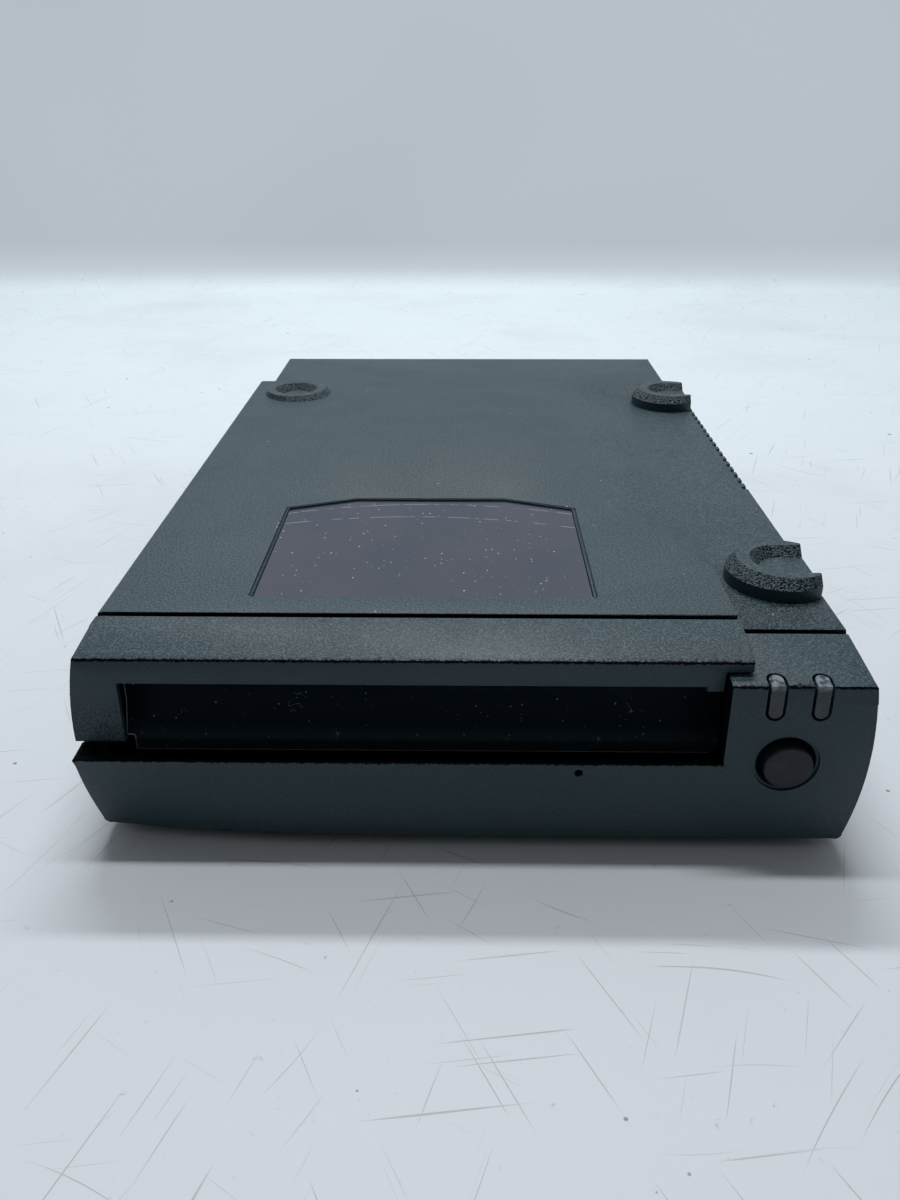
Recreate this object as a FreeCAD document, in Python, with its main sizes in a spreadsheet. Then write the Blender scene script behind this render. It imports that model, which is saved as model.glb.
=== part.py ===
import FreeCAD, Part
import math
import os
import types

import Sketcher

# A removable disk drive: a table-top case with a slot in front for a rigid
# cartridge, and the drive mechanism inside it. Millimetres. +X is to the right,
# the front faces -Y, +Z is up, and the origin is the middle of the footprint,
# on the table.

os.makedirs("parts", exist_ok=True)
doc = FreeCAD.newDocument("removable_disk_drive")
sheet = doc.addObject("Spreadsheet::Sheet", "Sizes")

# Driving sizes: alias, value, what it measures.
SIZES = [
    # Case
    ("case_width", 136.0, "widest, at mid height"),
    ("case_length", 203.0, "front panel's face to the hood's rear rim"),
    ("lid_height", 38.5, "lid above the table"),
    ("foot_height", 2.4, "case bottom above the table"),
    ("side_bulge", 2.6, "how far the sides stand out at mid height"),
    ("wall", 2.0, "case wall"),
    ("parting_height", 19.7, "joint between the two case halves"),
    ("edge_round", 0.7, "rounding of the case's long edges"),
    ("hood_length", 29.5, "rear hood behind the shoulders"),
    ("hood_inset", 4.1, "hood's side inside the case's side"),
    ("seam_depth", 15.1, "front panel's face to the seam in the lid"),
    ("seam_gap", 1.5, "width of the seam"),
    ("tongue_length", 4.0, "lap of the front mouldings inside the case"),
    ("lap_gap", 0.2, "gap in the lap joint"),
    # Lower strip along the lid's right edge
    ("strip_drop", 2.8, "strip below the lid"),
    ("step_place", 46.9, "the step's distance right of the middle"),
    ("step_end", 20.0, "length of the upright step behind the seam"),
    ("ramp_run", 30.0, "length over which the step turns into a ramp"),
    ("ramp_left", 30.0, "ramp's upper edge right of the middle"),
    ("ramp_right", 50.0, "ramp's lower edge right of the middle"),
    # Stacking rings and feet
    ("ring_radius", 10.05, "outside of a stacking ring"),
    ("ring_top_radius", 8.85, "outer edge of a ring's flat top"),
    ("ring_dish_radius", 6.35, "inner edge of a ring's flat top"),
    ("ring_floor_radius", 4.2, "flat floor inside a ring"),
    ("ring_lean", 1.0, "shift of a ring's top outwards and to the rear"),
    ("ring_rise", 1.3, "ring's top above the lid"),
    ("ring_shoulder", -0.4, "top of the ring's upright wall above the lid"),
    ("ring_floor_depth", 0.55, "ring's floor below the lid"),
    ("ring_side_cut", 65.6, "side cut of the right rings"),
    ("ring_right", 59.4, "right rings' distance from the middle"),
    ("ring_left", 51.2, "left ring's distance from the middle"),
    ("front_ring_back", 36.6, "front ring behind the front panel's face"),
    ("rear_ring_back", 159.4, "rear rings behind the front panel's face"),
    ("ramp_hold", 3.4, "ramp's full depth behind the rear ring's middle"),
    ("foot_radius", 5.0, "rubber foot"),
    ("foot_recess", 0.8, "foot's seat in the case bottom"),
    ("foot_gap", 0.1, "gap round a foot"),
    # Window in the lid
    ("window_left", 39.3, "window's left edge left of the middle"),
    ("window_right", 22.4, "window's right edge right of the middle"),
    ("window_front", 23.2, "window's front edge behind the front panel's face"),
    ("window_length", 48.2, "window from front to rear"),
    ("window_corner_run", 14.3, "rear corner cut, along the rear edge"),
    ("window_corner_depth", 5.4, "rear corner cut, along the side"),
    ("pane_thick", 1.6, "window pane"),
    ("pane_gap", 0.15, "gap round the pane"),
    ("ledge_width", 1.6, "ledge that carries the pane"),
    ("ledge_thick", 1.2, "thickness of that ledge"),
    ("groove_offset", 0.5, "decor groove outside the window"),
    ("groove_width", 0.3, "decor groove"),
    ("groove_depth", 0.4, "decor groove"),
    # Side vents
    ("vent_front", 86.8, "first vent behind the front panel's face"),
    ("vent_pitch", 4.0, "vent to vent"),
    ("vent_count", 17, "number of vents"),
    ("vent_width", 1.8, "vent groove"),
    ("vent_depth", 1.1, "vent groove into the side"),
    ("vent_bottom", 23.5, "lower end of the vent grooves"),
    ("slit_width", 1.0, "opening through the wall in each vent"),
    ("slit_margin", 1.5, "slit's ends inside the groove's ends"),
    ("slit_top", 32.0, "upper end of the slits"),
    # Front panel
    ("face_bulge", 0.6, "front face's bulge at mid height"),
    ("ridge_height", 33.85, "front panel's top edge"),
    ("beam_height", 18.8, "top of the beam under the slot"),
    ("sweep_start", 19.0, "where the lower left front begins to sweep back"),
    ("sweep_radius", 350.0, "sweep in plan, at the bottom edge"),
    ("panel_inset", 0.5, "front panel's sides inside the case's at mid height"),
    ("panel_wall", 3.2, "front mouldings' wall"),
    ("post_depth", 5.0, "depth of that wall behind the face"),
    ("thin_roof", 0.9, "panel's roof over the slot frame's right wall"),
    ("beam_lip", 1.1, "beam's upper rim"),
    ("beam_lip_depth", 5.0, "depth of the hollow behind the upper rim"),
    ("beam_hollow", 8.0, "that hollow, from the face back"),
    # Slot visor
    ("visor_setback", 3.5, "visor's face behind the front panel's face"),
    ("visor_ridge", 36.6, "visor's front edge"),
    ("visor_lip", 31.8, "visor's lower edge, the top of the slot"),
    ("visor_leg_bottom", 20.1, "bottom of the visor's left leg"),
    ("visor_wall", 1.5, "visor's front wall"),
    ("visor_ceiling", 34.7, "underside of the visor's roof"),
    ("visor_block_width", 2.9, "small block at the visor's right end"),
    ("visor_block_drop", 0.9, "how far that block hangs below the lip"),
    ("visor_undercut", 0.35, "gap between the visor's tip and the panel"),
    # Slot
    ("slot_width", 102.0, "cartridge slot"),
    ("slot_centre", 8.15, "slot's middle left of the case's middle"),
    # Dust door and its frame
    ("door_width", 103.0, "dust door"),
    ("door_thick", 1.2, "dust door"),
    ("door_back", 7.9, "door's upper part behind the front panel's face"),
    ("door_lean", 2.5, "how far the door's lower part leans forward"),
    ("door_bend_height", 26.0, "where the door begins to lean"),
    ("door_low_height", 19.6, "end of the lean"),
    ("door_bottom", 17.2, "door's lower edge"),
    ("door_notch_width", 1.4, "notch at the door's lower left"),
    ("door_notch_height", 2.9, "notch at the door's lower left"),
    ("door_corner", 1.6, "cut corner at the door's lower right"),
    ("hinge_height", 32.3, "door's hinge line"),
    ("hinge_radius", 0.8, "door's hinge pins"),
    ("hinge_gap", 0.05, "radial clearance of the hinge pins"),
    ("hinge_knuckle", 0.5, "plastic round the hinge line"),
    ("frame_gap", 0.75, "gap beside the door"),
    ("frame_wall", 1.5, "slot frame's walls"),
    ("frame_back", 24.5, "slot frame's rear behind the front panel's face"),
    ("frame_floor", 14.6, "frame's floor below the door"),
    ("frame_ramp_start", 14.0, "front of the frame's ramp behind the face"),
    ("frame_roof", 34.2, "top of the slot frame"),
    # Eject button
    ("button_proud", 1.3, "button in front of the face"),
    ("button_place", 53.5, "button right of the middle"),
    ("button_height", 18.9, "button above the table"),
    ("button_radius", 4.15, "button's cap"),
    ("button_hole", 5.1, "hole in the panel round the button"),
    ("button_rim", 5.6, "shallow rim round that hole"),
    ("button_rim_depth", 0.5, "depth of the rim"),
    ("button_flange", 6.0, "flange that keeps the button in"),
    ("button_flange_thick", 1.2, "thickness of that flange"),
    ("button_travel", 1.5, "how far the button goes in"),
    ("sleeve_gap", 0.3, "gap round the button's flange"),
    ("sleeve_wall", 1.2, "guide sleeve round the button"),
    # Light pipes, lamps and the front board
    ("pipe_left", 50.3, "left light pipe right of the middle"),
    ("pipe_spacing", 7.5, "light pipe to light pipe"),
    ("pipe_width", 2.3, "light pipe"),
    ("pipe_bottom", 27.9, "pipe's lower end on the face"),
    ("pipe_reach", 3.0, "pipe's rear end on the top, behind the ridge"),
    ("pipe_groove", 0.5, "gap round a pipe"),
    ("board_thick", 1.6, "circuit boards"),
    ("front_board_back", 9.4, "front board behind the front panel's face"),
    ("front_board_width", 15.5, "front board"),
    ("front_board_bottom", 9.5, "front board's lower edge"),
    ("front_board_top", 31.6, "front board's upper edge"),
    # Pinhole
    ("pinhole_place", 18.7, "pinhole right of the middle"),
    ("pinhole_height", 16.7, "pinhole above the table"),
    ("pinhole_radius", 0.75, "pinhole"),
    # Mechanism
    ("deck_width", 101.6, "mechanism, outside"),
    ("deck_length", 146.0, "mechanism, front to rear"),
    ("deck_height", 25.4, "mechanism"),
    ("deck_front", 25.4, "mechanism's front behind the front panel's face"),
    ("deck_top_gap", 0.3, "gap above the mechanism at its right edge"),
    ("deck_wall", 1.2, "base casting's side walls"),
    ("deck_floor_rise", 4.9, "casting's floor above the mechanism's bottom"),
    ("deck_floor", 1.5, "casting's floor"),
    ("lid_sheet", 0.8, "mechanism's sheet cover"),
    ("ledge_top", 18.9, "guide ledges under the cartridge"),
    ("ledge_reach", 5.0, "guide ledges' width"),
    ("guide_back", 113.5, "guides' rear end behind the front panel's face"),
    ("body_gap", 0.3, "gap between pieces that move past each other"),
    # Spindle
    ("disk_back", 64.85, "spindle behind the front panel's face"),
    ("carrier_radius", 20.0, "motor carrier"),
    ("carrier_thick", 1.2, "motor carrier"),
    ("carrier_rise", 4.0, "carrier above the mechanism's bottom"),
    ("pin_radius", 1.0, "carrier's lift pins"),
    ("pin_gap", 0.1, "radial clearance of the lift pins"),
    ("pin_spread", 9.0, "lift pins in front of and behind the spindle"),
    ("stator_radius", 11.5, "motor stator"),
    ("stator_height", 2.3, "motor stator"),
    ("shaft_radius", 2.0, "spindle shaft"),
    ("shaft_gap", 0.05, "radial clearance on shafts"),
    ("hub_radius", 15.0, "spindle hub"),
    ("hub_wall", 1.45, "hub's skirt"),
    ("hub_top", 18.2, "hub's rim above the table, lowered"),
    ("hub_boss", 6.0, "raised middle of the hub"),
    ("hub_boss_rise", 0.6, "raised middle of the hub"),
    ("hub_disc", 2.0, "hub's top disc"),
    ("magnet_ring", 1.4, "ring magnet in the hub"),
    # Eject sled
    ("sled_travel", 8.0, "sled's stroke"),
    ("lift_height", 2.4, "how far the sled raises the motor"),
    ("sled_plate", 1.0, "sled's sheet"),
    ("sled_rise", 1.0, "sled above the mechanism's bottom"),
    ("sled_half_width", 24.2, "outside of the sled's cheeks from the spindle"),
    ("sled_cheek", 1.2, "sled's cheeks"),
    ("sled_reach", 20.0, "cheeks in front of and behind the spindle"),
    ("sled_tab_top", 18.0, "top of the tab behind the pinhole"),
    ("sled_tab_width", 5.0, "tab behind the pinhole"),
    ("sled_tab_back", 24.0, "tab behind the front panel's face"),
    # Heads
    ("pivot_place", 10.0, "head pivot right of the middle"),
    ("pivot_back", 138.85, "head pivot behind the front panel's face"),
    ("pivot_radius", 2.4, "pivot post"),
    ("arm_hub_radius", 7.5, "head arm's hub"),
    ("arm_bottom", 18.0, "bottom of the arm's hub"),
    ("arm_top", 29.6, "top of the arm's hub"),
    ("arm_length", 60.0, "pivot to the heads"),
    ("arm_angle", 200.6, "parked arm's direction"),
    ("arm_first", 21.2, "middle of the lowest arm"),
    ("arm_pitch", 2.8, "arm to arm"),
    ("arm_thick", 1.2, "arms"),
    ("arm_swing", 46.0, "arm's swing on to the disks"),
    ("coil_inner", 11.0, "voice coil, near side"),
    ("coil_outer", 27.0, "voice coil, far side"),
    ("coil_thick", 2.4, "voice coil"),
    ("magnet_inner", 12.5, "arc magnets, near side"),
    ("magnet_outer", 29.0, "arc magnets, far side"),
    ("yoke_thick", 2.0, "steel yoke plates"),
    ("magnet_thick", 3.0, "arc magnets"),
    ("coil_gap", 1.0, "air gap between coil and magnets"),
    # Rear end
    ("rear_recess", 3.5, "rear panel inside the hood's rim"),
    ("rear_thick", 2.0, "rear panel"),
    ("rear_gap", 0.2, "gap round the rear panel"),
    ("socket_place", 6.0, "data sockets right of the middle"),
    ("socket_low", 12.5, "lower data socket above the table"),
    ("socket_pitch", 14.0, "lower to upper data socket"),
    ("socket_width", 37.0, "data socket's shell"),
    ("socket_height", 7.6, "data socket's shell"),
    ("socket_flange", 50.0, "data socket's flange"),
    ("socket_proud", 1.6, "data socket's shell behind the rear panel"),
    ("io_board_gap", 9.6, "rear panel to the interface board"),
    ("fan_place", 42.0, "fan left of the middle"),
    ("fan_size", 30.0, "fan frame"),
    ("fan_depth", 8.0, "fan frame"),
    ("fan_blade_radius", 13.3, "fan rotor"),
    ("fan_hub_radius", 6.0, "fan hub"),
    ("fan_blades", 7, "fan blades"),
    ("jack_place", 51.0, "power jack right of the middle"),
    ("jack_height", 11.6, "power jack above the table"),
    ("jack_radius", 3.6, "power jack's opening"),
    ("rocker_height", 26.5, "power switch above the table"),
    ("rocker_width", 8.0, "power rocker"),
    ("rocker_tall", 13.0, "power rocker"),
    ("rocker_tilt", 9.0, "rocker's tilt each way"),
    ("dial_place", 39.5, "number wheel right of the middle"),
    ("dial_height", 27.0, "number wheel above the table"),
    ("dial_radius", 6.0, "number wheel"),
    ("dial_width", 3.0, "number wheel"),
    ("slider_height", 13.0, "small slide switch above the table"),
    ("slider_travel", 3.0, "slide switch"),
    # Fixings
    ("post_radius", 3.2, "screw posts in the case"),
    ("screw_radius", 1.25, "case screws"),
    ("screw_head", 2.4, "case screws' heads"),
    ("screw_head_thick", 1.4, "case screws' heads"),
    ("screw_gap", 0.05, "gap round a screw"),
    ("screw_length", 20.0, "case screws under the head"),
    ("shield_thick", 0.5, "sheet shield"),
    ("rail_thick", 1.2, "mounting rails"),
]


class Size:
    """A size: its number, and the expression that binds it to the sheet."""

    def __init__(self, number, text):
        self.number = float(number)
        self.text = text

    def __float__(self):
        return self.number

    def __add__(self, other):
        other = as_size(other)
        return Size(self.number + other.number, f"({self.text} + {other.text})")

    def __radd__(self, other):
        return as_size(other) + self

    def __sub__(self, other):
        other = as_size(other)
        return Size(self.number - other.number, f"({self.text} - {other.text})")

    def __rsub__(self, other):
        return as_size(other) - self

    def __mul__(self, other):
        other = as_size(other)
        return Size(self.number * other.number, f"({self.text} * {other.text})")

    def __rmul__(self, other):
        return as_size(other) * self

    def __truediv__(self, other):
        other = as_size(other)
        return Size(self.number / other.number, f"({self.text} / {other.text})")

    def __neg__(self):
        return as_size(0) - self


def as_size(value):
    if isinstance(value, Size):
        return value
    return Size(value, f"({float(value)!r})")


def root(value):
    return Size(math.sqrt(value.number), f"sqrt({value.text})")


def cosine(angle):
    angle = as_size(angle)
    return Size(math.cos(math.radians(angle.number)), f"cos({angle.text})")


def sine(angle):
    angle = as_size(angle)
    return Size(math.sin(math.radians(angle.number)), f"sin({angle.text})")


for row, (alias, value, note) in enumerate(SIZES, start=1):
    sheet.set(f"A{row}", alias)
    sheet.set(f"B{row}", str(value))
    sheet.setAlias(f"B{row}", alias)
    sheet.set(f"C{row}", note)
doc.recompute()
size = types.SimpleNamespace(
    **{alias: Size(sheet.get(alias), f"Sizes.{alias}") for alias, value, note in SIZES}
)

NODES = {}
CUTS = []
AXIS_TURNS = {
    "X": FreeCAD.Rotation(FreeCAD.Vector(0, 1, 0), 90),
    "Y": FreeCAD.Rotation(FreeCAD.Vector(1, 0, 0), -90),
    "Z": FreeCAD.Rotation(),
}


def bind(item, name, value):
    item.setExpression(name, as_size(value).text)


def place(item, x, y, z):
    for axis, value in zip("xyz", (x, y, z)):
        bind(item, f"Placement.Base.{axis}", value)


def box(name, x_span, y_span, z_span):
    """A block between two places on each axis."""
    item = doc.addObject("Part::Box", name)
    for side, (low, high) in zip(("Length", "Width", "Height"), (x_span, y_span, z_span)):
        bind(item, side, as_size(high) - low)
    place(item, x_span[0], y_span[0], z_span[0])
    return item


def rod(name, axis, centre, span, radius):
    """A cylinder along one axis: centre is its place across that axis."""
    item = doc.addObject("Part::Cylinder", name)
    item.Placement = FreeCAD.Placement(FreeCAD.Vector(), AXIS_TURNS[axis])
    bind(item, "Radius", radius)
    bind(item, "Height", as_size(span[1]) - span[0])
    start = list(centre)
    start.insert("XYZ".index(axis), span[0])
    place(item, *start)
    return item


def fuse(name, *items):
    item = doc.addObject("Part::MultiFuse", name)
    item.Shapes = list(items)
    item.Refine = True
    return item


def common(name, *items):
    item = doc.addObject("Part::MultiCommon", name)
    item.Shapes = list(items)
    return item


def cut(name, base, *tools):
    item = doc.addObject("Part::Cut", name)
    item.Base = base
    item.Tool = tools[0] if len(tools) == 1 else fuse(f"{name}_tools", *tools)
    CUTS.append((item, base))
    return item


def tube(name, axis, centre, span, outer, inner):
    return cut(name, rod(f"{name}_outside", axis, centre, span, outer),
               rod(f"{name}_bore", axis, centre, span, inner))


def node(label, item):
    """Keep one finished piece under its own name."""
    item.Label = label
    NODES[label] = item
    return item


class Piece:
    """A body built up from sketched features."""

    NORMALS = {"XY": 1, "XZ": -1, "YZ": 1}

    def __init__(self, label):
        self.label = label
        self.body = doc.addObject("PartDesign::Body", label)
        self.planes = {item.Role[:2]: item for item in self.body.Origin.OriginFeatures
                       if item.Role.endswith("Plane")}
        self.axes = {item.Role[0]: item for item in self.body.Origin.OriginFeatures
                     if item.Role.endswith("Axis")}

    def sketch(self, plane, level, *loops, origin=(0, 0)):
        """Closed outlines on a plane, each corner held by its two distances.

        A corner is (u, v), or (u, v, radius) where an arc runs on to the next
        corner: it bulges outwards of an anticlockwise outline, or inwards with
        a negative radius. A loop of one (u, v, radius) is a circle.
        """
        item = self.body.newObject("Sketcher::SketchObject", f"{self.label}_sketch")
        item.AttachmentSupport = [(self.planes[plane], "")]
        item.MapMode = "FlatFace"
        bind(item, "AttachmentOffset.Base.x", origin[0])
        bind(item, "AttachmentOffset.Base.y", origin[1])
        bind(item, "AttachmentOffset.Base.z", as_size(level) * self.NORMALS[plane])
        for loop in loops:
            if len(loop) == 1:
                self.add_circle(item, loop[0])
            else:
                self.add_outline(item, loop)
        return item

    @staticmethod
    def hold(item, kind, *what, value):
        """One constraint, bound to its size."""
        value = as_size(value)
        index = item.addConstraint(Sketcher.Constraint(kind, *what, value.number))
        item.setExpression(f"Constraints[{index}]", value.text)

    def add_circle(self, item, circle):
        u, v, radius = circle
        centre = FreeCAD.Vector(float(u), float(v), 0)
        edge = item.addGeometry(Part.Circle(centre, FreeCAD.Vector(0, 0, 1), float(radius)))
        self.hold(item, "DistanceX", -1, 1, edge, 3, value=u)
        self.hold(item, "DistanceY", -1, 1, edge, 3, value=v)
        self.hold(item, "Radius", edge, value=radius)

    def add_outline(self, item, corners):
        points = [FreeCAD.Vector(float(corner[0]), float(corner[1]), 0) for corner in corners]
        ends = []
        for index, corner in enumerate(corners):
            start, end = points[index], points[(index + 1) % len(points)]
            if len(corner) == 2:
                edge = item.addGeometry(Part.LineSegment(start, end))
                ends.append((edge, 1, 2))
                continue
            radius = float(corner[2])
            chord = end - start
            half = chord.Length / 2
            sagitta = abs(radius) - math.sqrt(radius * radius - half * half)
            outward = FreeCAD.Vector(chord.y, -chord.x, 0).normalize()
            middle = (start + end) / 2 + outward * math.copysign(sagitta, radius)
            arc = Part.Arc(start, middle, end)
            edge = item.addGeometry(arc)
            ends.append((edge, 1, 2) if radius > 0 else (edge, 2, 1))
        for index, corner in enumerate(corners):
            edge, first, last = ends[index]
            after, after_first, after_last = ends[(index + 1) % len(ends)]
            item.addConstraint(Sketcher.Constraint("Coincident", edge, last, after, after_first))
            self.hold(item, "DistanceX", -1, 1, edge, first, value=corner[0])
            self.hold(item, "DistanceY", -1, 1, edge, first, value=corner[1])
            if len(corner) == 3:
                radius = as_size(corner[2])
                self.hold(item, "Radius", edge, value=radius if radius.number > 0 else -radius)

    def feature(self, kind, profile):
        item = self.body.newObject(f"PartDesign::{kind}", f"{self.label}_{kind}")
        item.Profile = profile
        return item

    def pad(self, plane, start, end, *loops, origin=(0, 0)):
        level = start if self.NORMALS[plane] > 0 else end
        item = self.feature("Pad", self.sketch(plane, level, *loops, origin=origin))
        bind(item, "Length", as_size(end) - start)
        return item

    def pocket(self, plane, start, end, *loops, origin=(0, 0)):
        level = end if self.NORMALS[plane] > 0 else start
        before = self.body.Tip
        item = self.feature("Pocket", self.sketch(plane, level, *loops, origin=origin))
        bind(item, "Length", as_size(end) - start)
        CUTS.append((item, before))
        return item

    def loft(self, plane, sections, subtract=False, ruled=False):
        """A solid through outlines at several levels: (level, outline) pairs."""
        before = self.body.Tip
        sketches = [self.sketch(plane, level, loop) for level, loop in sections]
        kind = "SubtractiveLoft" if subtract else "AdditiveLoft"
        item = self.feature(kind, sketches[0])
        item.Sections = sketches[1:]
        item.Ruled = ruled
        if subtract:
            CUTS.append((item, before))
        return item

    def turned(self, centre, outline, subtract=False):
        """An outline of (radius, height) corners turned about an upright axis."""
        before = self.body.Tip
        x, y = centre
        profile = self.sketch("XZ", y, outline, origin=(x, 0))
        item = self.feature("Groove" if subtract else "Revolution", profile)
        item.ReferenceAxis = (profile, ["V_Axis"])
        item.Angle = 360
        if subtract:
            CUTS.append((item, before))
        return item

    def repeat(self, feature, axis, pitch, count):
        """Copies of one feature in a row."""
        item = self.body.newObject("PartDesign::LinearPattern", f"{self.label}_row")
        item.Originals = [feature]
        item.Direction = (self.axes[axis], [""])
        bind(item, "Length", pitch * (count - 1))
        bind(item, "Occurrences", count)
        self.body.Tip = item
        return item

    def round_edges(self, radius, chosen):
        """Round the edges of the body so far for which chosen(edge) holds."""
        doc.recompute()
        before = self.body.Tip
        names = [f"Edge{index}" for index, edge in enumerate(before.Shape.Edges, start=1)
                 if chosen(edge)]
        item = self.body.newObject("PartDesign::Fillet", f"{self.label}_fillet")
        item.Base = (before, names)
        bind(item, "Radius", radius)
        return item

    def keep(self):
        return node(self.label, self.body)


def lies(edge, **where):
    """Whether all of an edge's box lies on the given coordinates."""
    bounds = edge.BoundBox
    for name, value in where.items():
        low, high = getattr(bounds, f"{name}Min"), getattr(bounds, f"{name}Max")
        if abs(low - float(value)) > 0.01 or abs(high - float(value)) > 0.01:
            return False
    return True


def rectangle(u_span, v_span):
    """Anticlockwise corners of a rectangle."""
    (left, right), (low, high) = u_span, v_span
    return [(left, low), (right, low), (right, high), (left, high)]


# Lines that the pieces share. Each is worked out from the sizes above.
face_y = -(size.case_length + size.button_proud) / 2 + size.button_proud
rear_y = (size.case_length + size.button_proud) / 2
shoulder_y = rear_y - size.hood_length
seam_front = face_y + size.seam_depth
seam_back = seam_front + size.seam_gap
bottom_z = size.foot_height
lid_z = size.lid_height
strip_z = lid_z - size.strip_drop
middle_z = (bottom_z + lid_z) / 2
half_tall = (lid_z - bottom_z) / 2
side_radius = (half_tall * half_tall + size.side_bulge * size.side_bulge) / (2 * size.side_bulge)
ceiling_z = lid_z - size.wall
low_ceiling_z = strip_z - size.wall
ridge_y = face_y + size.face_bulge
slot_left = -size.slot_centre - size.slot_width / 2
slot_right = -size.slot_centre + size.slot_width / 2
far_out = size.case_width
FRONT_RING = (size.ring_right, face_y + size.front_ring_back)
REAR_RING = (size.ring_right, face_y + size.rear_ring_back)
LEFT_RING = (-size.ring_left, face_y + size.rear_ring_back)
FRONT_LEFT_FOOT = (-size.ring_left, face_y + size.front_ring_back)


def side_x(z, inset=0):
    """Half width of the case at a height, with its side's arc."""
    radius = side_radius - inset
    rise = as_size(z) - middle_z
    return size.case_width / 2 - side_radius + root(radius * radius - rise * rise)


def band(low, high, inset=0):
    """The case's cross-section between two heights, its arc sides drawn in."""
    radius = side_radius - inset
    bottom, top = side_x(low, inset), side_x(high, inset)
    return [(-bottom, low), (bottom, low, radius), (top, high), (-top, high, radius)]


def window_outline(grow=0):
    """Window with its rear corners cut off, every edge moved out by grow."""
    left, right = -size.window_left, size.window_right
    front = face_y + size.window_front
    back = front + size.window_length
    run, depth = size.window_corner_run, size.window_corner_depth
    slant = root(run * run + depth * depth)
    side_y = back - depth + grow * (slant - depth) / run
    corner_in = run + grow * (run - slant) / depth
    return [
        (left - grow, front - grow), (right + grow, front - grow),
        (right + grow, side_y), (right - corner_in, back + grow),
        (left + corner_in, back + grow), (left - grow, side_y),
    ]


# Screw posts: place in plan.
post_right_x = size.step_place + 9
POSTS = [
    (post_right_x, seam_back + 36),
    (post_right_x, seam_back + 96),
    (post_right_x - 6, shoulder_y + 5),
    (-post_right_x, shoulder_y + 5),
]

# Top cover
cover = Piece("top_cover")
cover.pad("XZ", seam_back, shoulder_y, band(size.parting_height, lid_z))
cover.pad("XZ", shoulder_y, rear_y, band(size.parting_height, lid_z, size.hood_inset))
cover.round_edges(size.edge_round, lambda edge: lies(edge, Z=lid_z)
                  and edge.BoundBox.YLength > 1)
above = lid_z + 0.5
upper_reach = 0.5 * (size.ramp_right - size.ramp_left) / size.strip_drop
widest = size.case_width / 2
step_outline = [(size.step_place, strip_z), (widest, strip_z),
                (widest, above), (size.step_place, above)]
ramp_outline = [(size.ramp_right, strip_z), (widest, strip_z),
                (widest, above), (size.ramp_left - upper_reach, above)]
step_stop = seam_back + size.step_end
faded_outline = [(size.ramp_right, lid_z), (widest, lid_z),
                 (widest, above), (size.ramp_left - upper_reach, above)]
cover.loft("XZ", [(seam_back, step_outline), (step_stop, step_outline),
                  (step_stop + size.ramp_run, ramp_outline),
                  (REAR_RING[1] + size.ramp_hold, ramp_outline),
                  (shoulder_y, faded_outline)],
           subtract=True, ruled=True)
inner_radius = side_radius - size.wall
cover.pocket("XZ", seam_back, shoulder_y - size.wall, [
    (-side_x(size.parting_height, size.wall), size.parting_height),
    (side_x(size.parting_height, size.wall), size.parting_height, inner_radius),
    (side_x(low_ceiling_z, size.wall), low_ceiling_z),
    (size.step_place - size.wall, low_ceiling_z),
    (size.ramp_left - size.wall / 2, ceiling_z),
    (-side_x(ceiling_z, size.wall), ceiling_z, inner_radius),
])
hood_wall = size.hood_inset + size.wall
cover.pocket("XZ", shoulder_y - size.wall, shoulder_y + size.wall,
             band(size.parting_height, low_ceiling_z, hood_wall))
cover.pocket("XZ", shoulder_y + size.wall, rear_y,
             band(size.parting_height, ceiling_z, hood_wall))
ledge_bottom = ceiling_z - size.ledge_thick
cover.pad("XY", ledge_bottom, ceiling_z, window_outline(size.ledge_width))
cover.pocket("XY", ledge_bottom, lid_z, window_outline(-size.ledge_width))
cover.pocket("XY", ceiling_z, lid_z, window_outline(size.pane_gap))
groove_in = window_outline(size.groove_offset)
groove_out = window_outline(size.groove_offset + size.groove_width)
groove_front = face_y + size.window_front
cover.pocket("XY", lid_z - size.groove_depth, lid_z, [
    (groove_out[0][0], groove_front), (groove_in[0][0], groove_front),
    groove_in[5], groove_in[4], groove_in[3], groove_in[2],
    (groove_in[1][0], groove_front), (groove_out[1][0], groove_front),
    groove_out[2], groove_out[3], groove_out[4], groove_out[5],
])
crest_z, ring_shoulder_z = lid_z + size.ring_rise, lid_z + size.ring_shoulder
ring_floor_z = lid_z - size.ring_floor_depth
for (ring_x, ring_y), base_z, top_x in (
        (FRONT_RING, strip_z, FRONT_RING[0] + size.ring_lean),
        (REAR_RING, strip_z, REAR_RING[0] + size.ring_lean),
        (LEFT_RING, ring_floor_z, LEFT_RING[0] - size.ring_lean)):
    top_y = ring_y + size.ring_lean
    foot_circle = [(ring_x, ring_y, size.ring_radius)]
    cover.pad("XY", base_z, ring_shoulder_z, foot_circle)
    cover.loft("XY", [(ring_shoulder_z, foot_circle),
                      (crest_z, [(top_x, top_y, size.ring_top_radius)])])
    cover.turned((top_x, top_y), [
        (0, ring_floor_z), (size.ring_floor_radius, ring_floor_z),
        (size.ring_dish_radius, crest_z), (size.ring_dish_radius, crest_z + 1),
        (0, crest_z + 1),
    ], subtract=True)
    if base_z is strip_z:
        cover.pocket("YZ", top_x, far_out, [
            (top_y - size.ring_floor_radius, ring_floor_z),
            (top_y + size.ring_floor_radius, ring_floor_z),
            (top_y + size.ring_dish_radius, crest_z), (top_y + size.ring_dish_radius, crest_z + 1),
            (top_y - size.ring_dish_radius, crest_z + 1), (top_y - size.ring_dish_radius, crest_z),
        ])
cover.pocket("XZ", seam_back, shoulder_y, [
    (size.ring_side_cut, strip_z), (far_out, strip_z),
    (far_out, crest_z + 1), (size.ring_side_cut, crest_z + 1),
])
vent_y = face_y + size.vent_front
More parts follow.
